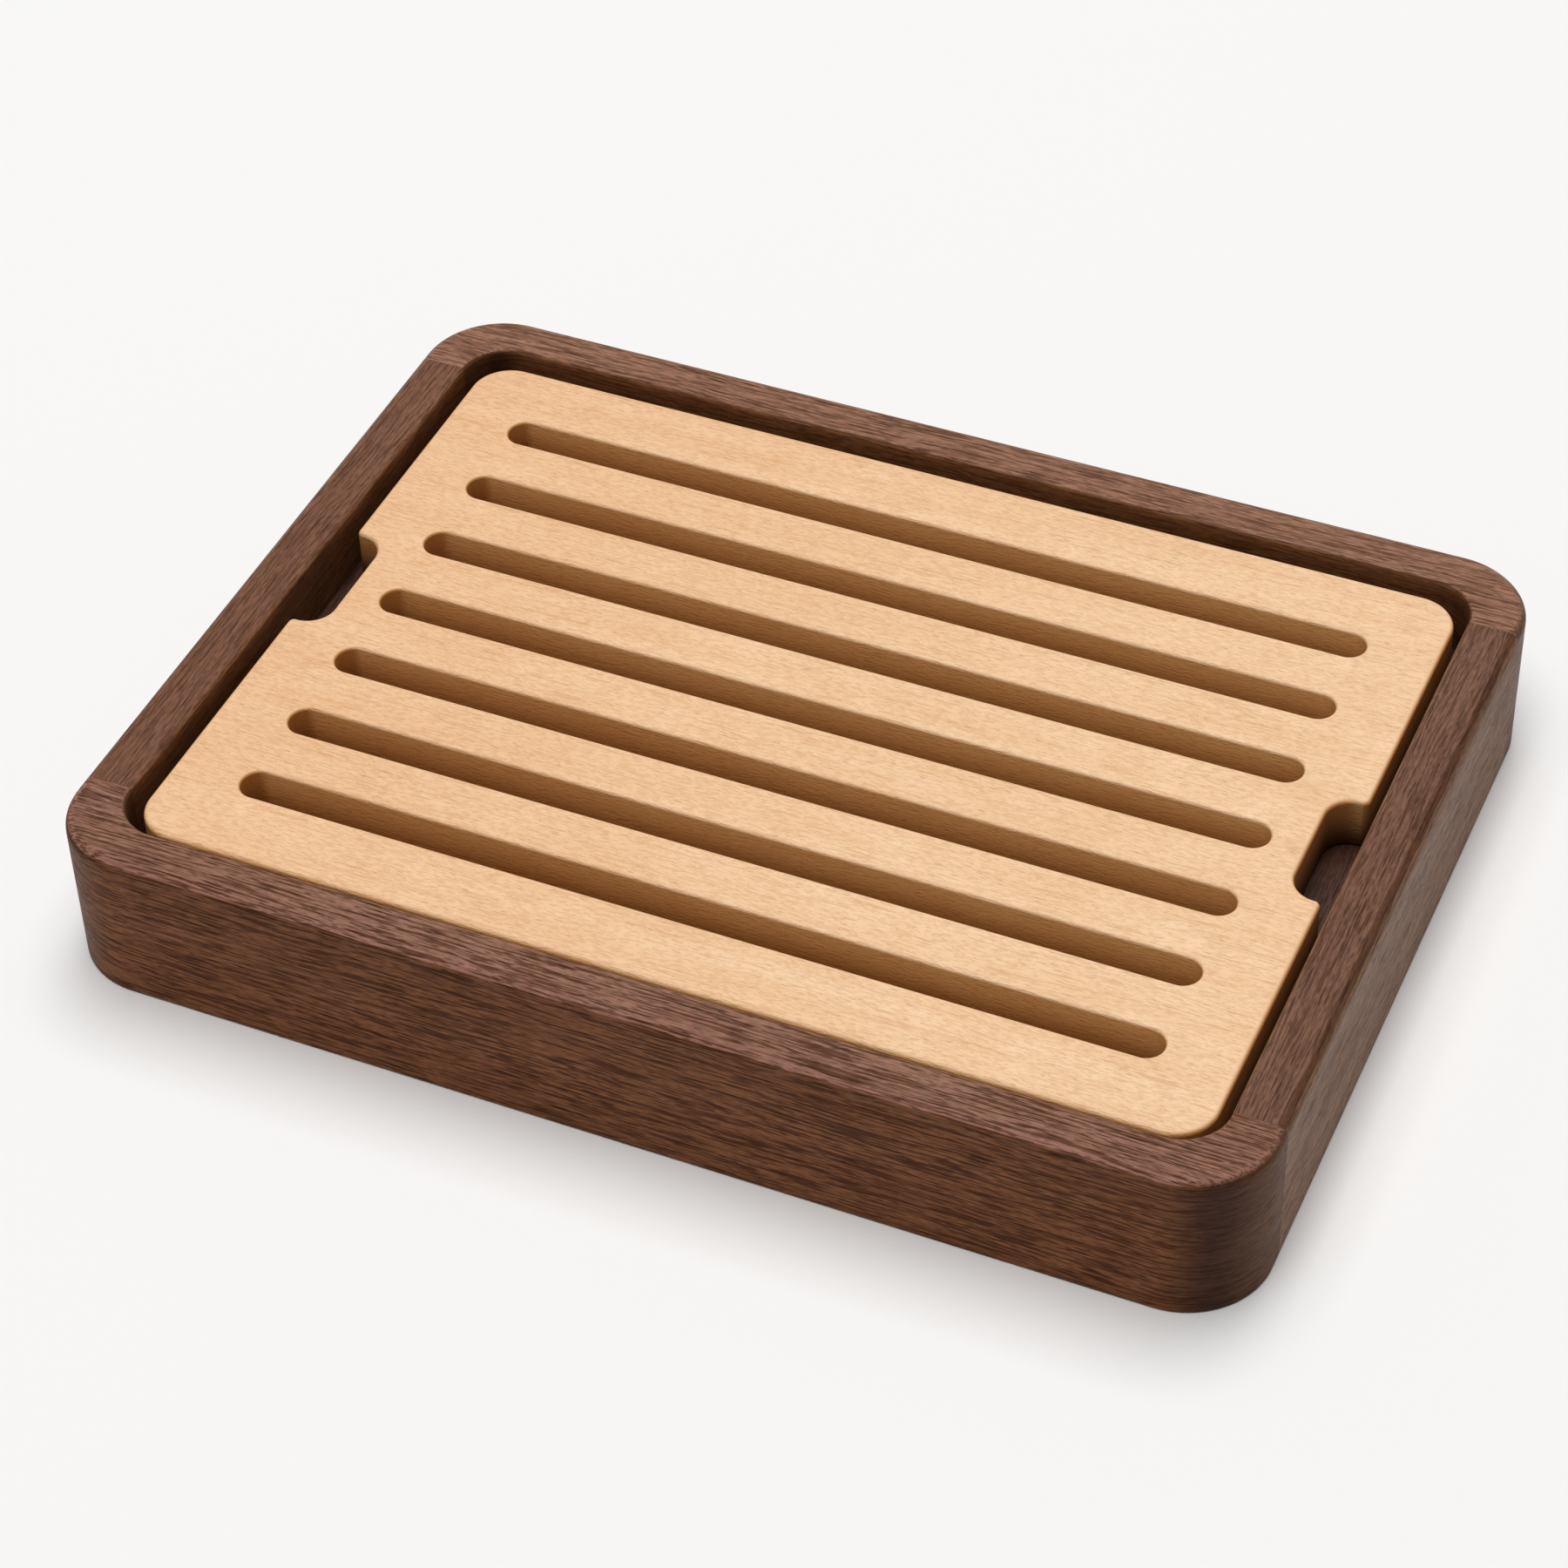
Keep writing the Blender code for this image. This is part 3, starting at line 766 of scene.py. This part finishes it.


def wood_pattern(name):
    """A node group with the sockets that every wood has, its bench and its inputs."""
    tree = bpy.data.node_groups.new(name, "ShaderNodeTree")
    tree.interface.new_socket("Grain", in_out="INPUT", socket_type="NodeSocketVector")
    tree.interface.new_socket("Calm", in_out="INPUT", socket_type="NodeSocketFloat")
    tree.interface.new_socket("Color", in_out="OUTPUT", socket_type="NodeSocketColor")
    tree.interface.new_socket("Roughness", in_out="OUTPUT", socket_type="NodeSocketFloat")
    tree.interface.new_socket("Height", in_out="OUTPUT", socket_type="NodeSocketFloat")
    bench = Bench(tree)
    given = bench.add("NodeGroupInput").outputs
    return tree, bench, given["Grain"], given["Calm"]


def rgba(shade):
    """A colour with full alpha."""
    return (*shade, 1.0)


def walnut_pattern(wood):
    """Oiled walnut: lighter and darker bands, long thin veins, and open pores as fine dark dashes."""
    tree, bench, grain, calm = wood_pattern("Walnut")
    wavy = bench.warp(grain, along=90, across=22, distance=6)
    wavy = bench.warp(wavy, along=18, across=5, distance=0.8)
    bands = bench.ramp(bench.noise(wavy, along=150, across=9), 0.34, 0.66)
    veins = bench.ramp(bench.noise(wavy, along=20, across=0.7, detail=1.0, roughness=0.4), 0.45, 0.63)
    fibre = bench.noise(wavy, along=3.5, across=0.7, detail=1.0)
    width = bench.ramp(bench.noise(wavy, along=40, across=6, detail=1.0), 0.3, 0.7, *WALNUT_PORE_WIDTHS)
    long_pores = bench.dashes(wavy, along=19, across=0.85, width=width)
    short_pores = bench.dashes(wavy, along=6, across=0.8, width=width)
    pores = bench.math("MAXIMUM", long_pores, bench.math("MULTIPLY", short_pores, WALNUT_SHORT_PORES))
    loud = bench.math("MULTIPLY_ADD", calm, -WALNUT_CALMING, 1.0)
    open_pores = bench.math("MULTIPLY", pores, loud)
    veins = bench.math("MULTIPLY", veins, loud)
    color = bench.mix(bench.math("MULTIPLY", bands, WALNUT_BANDS), rgba(wood.walnut_light),
                      rgba(wood.walnut_grey))
    color = bench.mix(bench.math("MULTIPLY", veins, WALNUT_VEINS), color, rgba(wood.walnut_dark))
    grey = bench.ramp(fibre, 0.3, 0.7, *WALNUT_FIBRE)
    color = bench.mix(1.0, color, bench.vector(grey, grey, grey), blend="MULTIPLY")
    color = bench.mix(bench.math("MULTIPLY", open_pores, WALNUT_PORES), color, rgba(wood.walnut_pore))
    rough = bench.ramp(bands, 0.0, 1.0, *WALNUT_ROUGHNESS)
    rough = bench.math("MULTIPLY_ADD", pores, WALNUT_PORE_ROUGHNESS, rough)
    height = bench.math("MULTIPLY", open_pores, -1.0)
    height = bench.math("MULTIPLY_ADD", fibre, WALNUT_FIBRE_HEIGHT, height)
    bench.add("NodeGroupOutput", {"Color": color, "Roughness": rough, "Height": height})
    return tree


def maple_pattern(wood):
    """Oiled maple: calm and pale, with short fine flecks, a few long tan streaks and soft clouds."""
    tree, bench, grain, calm = wood_pattern("Maple")
    wavy = bench.warp(grain, along=120, across=30, distance=6)
    wavy = bench.warp(wavy, along=16, across=5, distance=0.8)
    clouds = bench.ramp(bench.noise(wavy, along=36, across=16), 0.3, 0.7)
    bands = bench.ramp(bench.noise(wavy, along=190, across=7, detail=1.0), 0.36, 0.66)
    curl = bench.ramp(bench.noise(wavy, along=6, across=30, detail=1.0), 0.35, 0.65)
    streaks = bench.ramp(bench.noise(wavy, along=26, across=0.95, detail=1.0), 0.56, 0.72)
    grit = bench.ramp(bench.noise(wavy, along=3.5, across=0.55, detail=1.0, roughness=0.4), 0.45, 0.68)
    specks = bench.dashes(wavy, along=2.4, across=0.62, width=MAPLE_SPECK_WIDTH)
    width = bench.ramp(bench.noise(wavy, along=30, across=8, detail=1.0), 0.3, 0.7, *MAPLE_FLECK_WIDTHS)
    flecks = bench.dashes(wavy, along=6, across=0.75, width=width)
    color = rgba(wood.maple_light)
    for shade, strength in ((clouds, MAPLE_CLOUDS), (bands, MAPLE_BANDS), (curl, MAPLE_CURL)):
        color = bench.mix(bench.math("MULTIPLY", shade, strength), color, rgba(wood.maple_dark))
    figure = color
    for marks, strength in ((streaks, MAPLE_STREAKS), (flecks, MAPLE_FLECKS), (grit, MAPLE_GRIT),
                            (specks, MAPLE_SPECKS)):
        figure = bench.mix(bench.math("MULTIPLY", marks, strength), figure, rgba(wood.maple_fleck))
    loud = bench.math("MULTIPLY_ADD", calm, -1.0, 1.0)
    color = bench.mix(loud, color, figure)
    along = bench.add("ShaderNodeSeparateXYZ", {0: grain}).outputs["X"]
    left_to_right = bench.mix(bench.ramp(along, -MAPLE_TONE_REACH, MAPLE_TONE_REACH), rgba(MAPLE_LEFT_TONE),
                      rgba(MAPLE_RIGHT_TONE))
    color = bench.mix(1.0, color, left_to_right, blend="MULTIPLY")
    rough = bench.ramp(clouds, 0.0, 1.0, *MAPLE_ROUGHNESS)
    rough = bench.math("MULTIPLY_ADD", flecks, MAPLE_FLECK_ROUGHNESS, rough)
    height = bench.math("MULTIPLY", flecks, MAPLE_FLECK_HEIGHT)
    height = bench.math("MULTIPLY_ADD", grit, MAPLE_GRIT_HEIGHT, height)
    height = bench.math("MULTIPLY", loud, height)
    bench.add("NodeGroupOutput", {"Color": color, "Roughness": rough, "Height": height})
    return tree


def wood_material(name, pattern, shift, tint_of, grain_along_y=False, wrapped=False, ior=PLAIN_IOR):
    """A wood with the pattern, its grain along X or Y, shifted so that no two pieces look alike.

    Given a bench, tint_of makes the colour that multiplies the wood's own. Wrapped grain follows the walls
    round the corners.
    """
    material = bpy.data.materials.new(name)
    material.use_nodes = True
    material.diffuse_color = rgba(VIEWPORT_BROWN)
    shader = material.node_tree.nodes["Principled BSDF"]
    shader.inputs["IOR"].default_value = ior
    bench = Bench(material.node_tree)
    place = bench.add("ShaderNodeTexCoord").outputs["Object"]
    if wrapped:
        wall = bench.add("ShaderNodeAttribute", attribute_name="wall_place").outputs["Vector"]
        on_top = bench.ramp(bench.mark("upward"), *WRAPPED_UP_TO)
        place = bench.add("ShaderNodeMix", {0: on_top, 4: wall, 5: place}, data_type="VECTOR").outputs[1]
    turn = (0, 0, math.radians(90) if grain_along_y else 0)
    grain = bench.add("ShaderNodeMapping", {"Vector": place, "Location": shift, "Rotation": turn,
                                            "Scale": (MILLIMETRES, MILLIMETRES, MILLIMETRES)}).outputs[0]
    wood = bench.add("ShaderNodeGroup", node_tree=pattern)
    relief = bench.add("ShaderNodeBump", {"Height": wood.outputs["Height"], "Distance": RELIEF}).outputs[0]
    color = bench.mix(1.0, wood.outputs["Color"], tint_of(bench), blend="MULTIPLY")
    for source, target in ((grain, wood.inputs["Grain"]), (bench.mark("calm"), wood.inputs["Calm"]),
                           (color, shader.inputs["Base Color"]), (relief, shader.inputs["Normal"]),
                           (wood.outputs["Roughness"], shader.inputs["Roughness"])):
        material.node_tree.links.new(source, target)
    return material


# Tints, which multiply a wood's own colours. Most of them are painted light and shade. Slopes run from 0 on
# an upright face to 1 on a level one.

WRAPPED_UP_TO = (0.60, 0.66)  # slopes between which the grain changes from a wall's to the top's
END_GRAIN_SLOPES = (1.0, 0.6)  # slopes between which the tint of end grain sets in, so that it fades towards level faces and leaves the corners' roundings lighter as a painted highlight
END_GRAIN_FULL = 0.60  # how far a face has to turn to the grain to take all of that tint
LEVEL_SLOPES = (0.75, 0.98)  # slopes between which a tint changes from the sides' to the top's
OUTER_LEVEL_SLOPES = (0.67, 0.78)  # the same on a rail's outer rounding
ROUNDING_STARTS = (0.02, 0.30)  # slopes between which the painted shade of an outer rounding sets in
ROUNDING_ENDS = (0.79, 0.72)  # the same, coming from the top
PAINTED_LINE_BLUR = 0.06  # the slope over which the edge of the thin painted line fades
# End grain's own darker colour, deepened as painted shade on the tray's corners.
END_GRAIN = (0.172, 0.128, 0.087)
NEAR_SEAM = (0.33, 0.29, 0.185)  # end grain beside the seams, where the rails turn straight to the grain
NEAR_SEAM_STARTS = 0.66
# Painted shade on the ledges and the floor panel, which lie in the shade under the board.
LEDGE_PAINTED_SHADE = (0.145, 0.108, 0.078)
PANEL_PAINTED_SHADE = (0.40, 0.335, 0.295)


def on_end_grain(bench):
    """1 on end grain, and less towards level faces and long grain."""
    turned = bench.ramp(bench.mark("end_grain"), 0.0, END_GRAIN_FULL)
    return bench.math("MULTIPLY", turned, bench.ramp(bench.mark("upward"), *END_GRAIN_SLOPES))


def plain_tint(shade):
    """One tint all over, apart from the bare ends that are hidden in the joints; on the ledges and the panel
    it is painted shade.
    """
    return lambda bench: bench.mix(on_end_grain(bench), rgba(shade), rgba(WHITE))


class Rail(NamedTuple):
    """How a rail lies in the tray and looks. A thin painted line runs on its outer rounding between two
    slopes: a painted highlight on the front rail, and painted shade on the right rail.
    """

    shift: tuple  # of the wood's pattern
    outward: int  # 1 if its outer side faces +X or +Y, and -1 if it faces the other way
    calm: float
    ior: float
    # tints as painted light and shade: the sides' tone, the top with painted sheen, and the outer rounding
    # with painted shade
    sides: tuple
    top: tuple
    rounding: tuple
    # the thin line on the outer rounding: a painted highlight on the front rail, painted shade on the right
    # rail
    line: tuple
    painted_line_slopes: tuple
    short: bool = False  # short rails lie along Y, and so does their grain


# Each rail's tints stand in for how the light falls on it: the top paler as painted sheen, the outer rounding
# darker as painted shade, and the sides toned apart from rail to rail as painted light and shade.
RAILS = {
    "front_rail": Rail(shift=(31, 7, 40), outward=-1, calm=0.0, ior=1.17,
                       sides=(0.61, 0.447, 0.245), top=(0.73, 0.70, 0.635), rounding=(0.45, 0.36, 0.23),
                       line=(0.84, 0.79, 0.76), painted_line_slopes=(0.66, 1.0)),
    "back_rail": Rail(shift=(-410, 66, -12), outward=1, calm=0.2, ior=1.22,
                      sides=(0.49, 0.42, 0.255), top=(0.78, 0.74, 0.625), rounding=(0.38, 0.32, 0.19),
                      line=(0.69, 0.64, 0.54), painted_line_slopes=(0.66, 0.96)),
    "left_rail": Rail(shift=(120, -35, 75), outward=-1, calm=0.5, ior=1.22, short=True,
                      sides=(0.53, 0.455, 0.275), top=(0.494, 0.422, 0.32), rounding=(0.41, 0.345, 0.20),
                      line=(0.435, 0.36, 0.26), painted_line_slopes=(0.66, 0.96)),
    "right_rail": Rail(shift=(260, 48, -60), outward=1, calm=0.45, ior=1.22, short=True,
                       sides=(0.60, 0.54, 0.33), top=(0.484, 0.444, 0.38), rounding=(0.52, 0.47, 0.30),
                       line=(0.25, 0.18, 0.105), painted_line_slopes=(0.68, 1.01)),
}


def rail_tint(rail):
    """A rail's tint, lit and shaded copies of one walnut: its sides, the outer rounding in painted shade with
    its thin painted line, its top with painted sheen, and dark end grain.
    """
    def tint_of(bench):
        up = bench.mark("upward")
        outer = bench.mark("wall")
        starts, ends = (bench.math("MULTIPLY_ADD", outer, there - here, here)
                        for here, there in zip(LEVEL_SLOPES, OUTER_LEVEL_SLOPES))
        tint = bench.mix(bench.ramp(up, starts, ends), rgba(rail.sides), rgba(rail.top))
        # Painted shade on the outer rounding.
        on_rounding = bench.math("MULTIPLY", bench.ramp(up, *ROUNDING_STARTS), bench.ramp(up, *ROUNDING_ENDS))
        tint = bench.mix(bench.math("MULTIPLY", on_rounding, outer), tint, rgba(rail.rounding))
        # The thin painted line: a painted highlight on the front rail, painted shade on the right rail.
        low, high = rail.painted_line_slopes
        on_painted_line = bench.math("MULTIPLY", bench.ramp(up, low, low + PAINTED_LINE_BLUR),
                             bench.ramp(up, high, high - PAINTED_LINE_BLUR))
        tint = bench.mix(bench.math("MULTIPLY", on_painted_line, outer), tint, rgba(rail.line))
        tint = bench.mix(on_end_grain(bench), tint, rgba(END_GRAIN))
        if rail.short:
            return tint
        near_seam = bench.ramp(bench.mark("end_grain"), NEAR_SEAM_STARTS, 1.0)
        return bench.mix(near_seam, tint, rgba(NEAR_SEAM))

    return tint_of


BOARD_SHIFT = (15, 25, 10)
# Painted light and shade on the board's walls: they are warmer and darker than the top as painted shade, the
# slots' walls lighter as painted light, and the end grain darker than the long grain, partly its own colour
# and partly painted shade.
BOARD_SIDES = (1.0, 0.82, 0.49)
BOARD_ENDS = (0.76, 0.50, 0.26)
SLOT_SIDES = (1.17, 1.05, 0.72)
SLOT_ENDS = (0.76, 0.56, 0.28)
BOARD_LEVEL_STARTS = 0.2  # the slope at which the tint of the sides begins to give way
BOARD_LEVEL_ENDS = (0.48, 0.98)  # the slope at which it is gone, in the slots and on the long sides
# Painted shade darkens the walls towards their foot, most in the notches.
SLOT_FOOT_PAINTED_SHADE = (0.395, 0.25, 0.078)
NOTCH_FOOT_PAINTED_SHADE = (0.06, 0.035, 0.02)
SIDE_FOOT_PAINTED_SHADE = (0.88, 0.84, 0.77)


def board_tint(bench):
    """The board's tint, painted light and shade: none on top, warmer and darker on its walls, the slots'
    walls lighter, and painted shade towards their foot.
    """
    up = bench.mark("upward")
    wall = bench.mark("wall")
    past_slots = bench.ramp(wall, IN_SLOT, IN_NOTCH)
    sides = bench.mix(past_slots, rgba(SLOT_SIDES), rgba(BOARD_SIDES))
    in_slots, on_sides = BOARD_LEVEL_ENDS
    level_ends = bench.math("MULTIPLY_ADD", wall, on_sides - in_slots, in_slots)
    tint = bench.mix(bench.ramp(up, BOARD_LEVEL_STARTS, level_ends), sides, rgba(WHITE))
    ends = bench.mix(past_slots, rgba(SLOT_ENDS), rgba(BOARD_ENDS))
    tint = bench.mix(on_end_grain(bench), tint, ends)
    # Painted shade, darker towards each wall's foot.
    foot = bench.mix(past_slots, rgba(SLOT_FOOT_PAINTED_SHADE), rgba(NOTCH_FOOT_PAINTED_SHADE))
    foot = bench.mix(bench.ramp(wall, IN_NOTCH, ON_LONG_SIDE), foot, rgba(SIDE_FOOT_PAINTED_SHADE))
    place = bench.add("ShaderNodeTexCoord").outputs["Object"]
    height = bench.add("ShaderNodeSeparateXYZ", {0: place}).outputs["Z"]
    shade = bench.mix(bench.ramp(height, BOARD_HIGH.z, BOARD_LOW.z), rgba(WHITE), foot)
    return bench.mix(1.0, tint, shade, blend="MULTIPLY")


# Pieces

class Ledge(NamedTuple):
    """How a ledge lies in the tray."""

    shift: tuple  # of the wood's pattern
    outward: int  # 1 if it lies at +X or +Y, and -1 if it lies at the other side
    short: bool = False  # short ledges lie along Y, and so does their grain


LEDGES = {
    "front_ledge": Ledge(shift=(-55, 92, 14), outward=-1),
    "back_ledge": Ledge(shift=(330, -77, 25), outward=1),
    "left_ledge": Ledge(shift=(95, 140, -33), outward=-1, short=True),
    "right_ledge": Ledge(shift=(-180, -120, 51), outward=1, short=True),
}
PANEL_SHIFT = (77, 31, -88)
DOWEL_SHIFT = (40, 60, 20)


def make_rails(settings):
    """The four rails: two long ones that hold the corners, and two short ones butted between them."""
    tray = settings.tray
    pattern = walnut_pattern(settings.wood)
    cutters = make_cutters(tray)
    for name, rail in RAILS.items():
        outline = (short_rail_outline if rail.short else long_rail_outline)(tray, rail.outward)
        blank = solid(name, outline, TRAY_LOW.z, TRAY_HIGH.z)
        round_edges(blank, tray.outer_round, rail_round_shares(tray), RAIL_ROUNDING_STEPS)
        cut_groove_and_holes(blank, cutters)
        material = wood_material(name + "_walnut", pattern, rail.shift, rail_tint(rail), rail.short,
                                 wrapped=not rail.short, ior=rail.ior)
        finish_piece(name + "_wood", blank, "tray", material, [name], rail.short,
                     rail_walls(tray), rail.calm)
    put_cutters_away(cutters)


def make_floor_and_ledges(settings):
    """The floor panel in its groove, and the four ledges on it."""
    tray = settings.tray
    pattern = walnut_pattern(settings.wood)
    outline = rounded_rectangle(PANEL_HIGH.x, PANEL_HIGH.y,
                                tray.inner_corner + PANEL_HIGH.x - tray_inside(tray)[0])
    blank = solid("base_panel", outline, PANEL_LOW.z, PANEL_HIGH.z)
    # The panel and the ledges get painted shade, for the shade under the board.
    material = wood_material("base_panel_walnut", pattern, PANEL_SHIFT, plain_tint(PANEL_PAINTED_SHADE))
    finish_piece("base_panel_wood", blank, "tray", material, ["base_panel"])
    for name, ledge in LEDGES.items():
        outline = (side_ledge_outline if ledge.short else end_ledge_outline)(tray, ledge.outward)
        blank = solid(name, outline, LEDGE_LOW.z, LEDGE_HIGH.z)
        round_edges(blank, tray.ledge_round, lambda point: 1, LEDGE_ROUNDING_STEPS)
        material = wood_material(name + "_walnut", pattern, ledge.shift, plain_tint(LEDGE_PAINTED_SHADE), ledge.short)
        finish_piece(name + "_wood", blank, "tray", material, [name], ledge.short,
                     calm=LEDGE_CALM)


def dress_dowels(settings):
    """The beech dowels inside the corner joints keep their shape and get a material."""
    pattern = maple_pattern(settings.wood)
    material = wood_material("beech", pattern, DOWEL_SHIFT, plain_tint(WHITE), grain_along_y=True)
    for name in DOWELS:
        for slot in frame["nodes"][name].material_slots:
            slot.material = material


# Stage

TABLE_HALF_WIDTH = 6  # metres
SKY_COLOUR = (1.0, 0.995, 0.985)
SOFTBOX_PLACE = (-0.045, 0.055, 1.0)  # as shares of the softboxes' height
SOFTBOX_HALF_ANGLE_Y = 30  # degrees that half a softbox takes up along Y, seen from the table
# For each softbox, the same along X, and its share of the light
SOFTBOXES = {"softbox_core": (8, 0.42), "softbox_wide": (21, 0.58)}
CAMERA_PLACE = (0.41758, -0.92971, 0.96887)
CAMERA_ANGLES = (47.0666, 1.3336, 23.4709)  # degrees
SENSOR_WIDTH = 36  # millimetres
VIEW_DISTANCE = 50  # metres


def make_stage(stage):
    """A pale table, soft light from above and all round, and the camera."""
    make_table(stage)
    make_lights(stage)
    make_camera(stage)
    bpy.context.scene.view_settings.view_transform = "Standard"


def make_table(stage):
    """A pale, matt table top at height 0."""
    mesh = bpy.data.meshes.new("table")
    cage = bmesh.new()
    bmesh.ops.create_grid(cage, x_segments=1, y_segments=1, size=TABLE_HALF_WIDTH)
    cage.to_mesh(mesh)
    cage.free()
    table = bpy.data.objects.new("table", mesh)
    bpy.context.scene.collection.objects.link(table)
    material = bpy.data.materials.new("pale_table")
    material.use_nodes = True
    shader = material.node_tree.nodes["Principled BSDF"]
    shader.inputs["Base Color"].default_value = rgba(stage.table)
    shader.inputs["Roughness"].default_value = 1.0
    shader.inputs["Specular IOR Level"].default_value = 0.0
    mesh.materials.append(material)


def make_lights(stage):
    """Two softboxes in one place above the table, and a room that looks white but lights only a little."""
    for name, (half_angle_x, share) in SOFTBOXES.items():
        lamp = bpy.data.lights.new(name, "AREA")
        lamp.shape = "RECTANGLE"
        lamp.size = 2 * stage.softbox_height * math.tan(math.radians(half_angle_x))
        lamp.size_y = 2 * stage.softbox_height * math.tan(math.radians(SOFTBOX_HALF_ANGLE_Y))
        lamp.energy = stage.key * share * (math.pi * stage.softbox_height) ** 2
        softbox = bpy.data.objects.new(name, lamp)
        softbox.location = Vector(SOFTBOX_PLACE) * stage.softbox_height
        bpy.context.scene.collection.objects.link(softbox)

    world = bpy.data.worlds.new("room")
    bpy.context.scene.world = world
    world.use_nodes = True
    bench = Bench(world.node_tree)
    background = world.node_tree.nodes["Background"]
    ray = bench.add("ShaderNodeLightPath").outputs
    mirrored = bench.math("MAXIMUM", ray["Is Glossy Ray"], ray["Is Transmission Ray"])
    seen = bench.math("MAXIMUM", ray["Is Camera Ray"], mirrored)
    strength = bench.math("MULTIPLY_ADD", seen, 1.0 - stage.sky, stage.sky)
    world.node_tree.links.new(strength, background.inputs["Strength"])
    background.inputs["Color"].default_value = rgba(SKY_COLOUR)


def make_camera(stage):
    """The camera at the angle of the photograph."""
    lens = bpy.data.cameras.new("camera")
    lens.lens = stage.lens
    lens.sensor_width = SENSOR_WIDTH
    lens.clip_end = VIEW_DISTANCE
    camera = bpy.data.objects.new("camera", lens)
    camera.location = CAMERA_PLACE
    camera.rotation_euler = [math.radians(angle) for angle in CAMERA_ANGLES]
    bpy.context.scene.collection.objects.link(camera)
    bpy.context.scene.camera = camera


# Operators and panel

class BREADBOARD_OT_rails(bpy.types.Operator):
    """Make the four walnut rails of the tray"""

    bl_idname = "breadboard.rails"
    bl_label = "Make Rails"

    def execute(self, context):
        make_rails(context.scene.bread_board)
        return {"FINISHED"}


class BREADBOARD_OT_floor(bpy.types.Operator):
    """Make the tray's floor panel and the ledges that carry the board"""

    bl_idname = "breadboard.floor"
    bl_label = "Make Floor and Ledges"

    def execute(self, context):
        make_floor_and_ledges(context.scene.bread_board)
        return {"FINISHED"}


class BREADBOARD_OT_dowels(bpy.types.Operator):
    """Give the dowels in the corner joints their beech"""

    bl_idname = "breadboard.dowels"
    bl_label = "Dress Dowels"

    def execute(self, context):
        dress_dowels(context.scene.bread_board)
        return {"FINISHED"}


class BREADBOARD_OT_board(bpy.types.Operator):
    """Make the slotted maple board"""

    bl_idname = "breadboard.board"
    bl_label = "Make Slotted Board"

    def execute(self, context):
        make_board(context.scene.bread_board)
        return {"FINISHED"}


class BREADBOARD_OT_stage(bpy.types.Operator):
    """Make the pale table, the light and the camera"""

    bl_idname = "breadboard.stage"
    bl_label = "Make Stage"

    def execute(self, context):
        make_stage(context.scene.bread_board.stage)
        return {"FINISHED"}


class BREADBOARD_PT_sidebar(bpy.types.Panel):
    """Sizes, colours and steps of the bread board"""

    bl_label = "Bread Board"
    bl_idname = "BREADBOARD_PT_sidebar"
    bl_space_type = "VIEW_3D"
    bl_region_type = "UI"
    bl_category = "Bread Board"

    def draw(self, context):
        settings = context.scene.bread_board
        for title, group in (("Tray", settings.tray), ("Board", settings.board), ("Wood", settings.wood),
                             ("Stage", settings.stage)):
            box = self.layout.box()
            box.label(text=title)
            for name in group.__annotations__:
                box.prop(group, name)
        for operator in OPERATORS:
            self.layout.operator(operator.bl_idname)


OPERATORS = (BREADBOARD_OT_rails, BREADBOARD_OT_floor, BREADBOARD_OT_dowels, BREADBOARD_OT_board,
             BREADBOARD_OT_stage)
CLASSES = (BREADBOARD_PG_tray, BREADBOARD_PG_board, BREADBOARD_PG_wood, BREADBOARD_PG_stage,
           BREADBOARD_PG_settings, *OPERATORS, BREADBOARD_PT_sidebar)


def register():
    """Make the classes and the settings known to Blender."""
    for cls in CLASSES:
        bpy.utils.register_class(cls)
    bpy.types.Scene.bread_board = PointerProperty(type=BREADBOARD_PG_settings)


def unregister():
    """Take the settings and the classes out again."""
    del bpy.types.Scene.bread_board
    for cls in reversed(CLASSES):
        bpy.utils.unregister_class(cls)


def main():
    """Make all pieces and the stage."""
    register()
    bpy.ops.breadboard.rails()
    bpy.ops.breadboard.floor()
    bpy.ops.breadboard.dowels()
    bpy.ops.breadboard.board()
    bpy.ops.breadboard.stage()


if __name__ == "__main__":
    main()
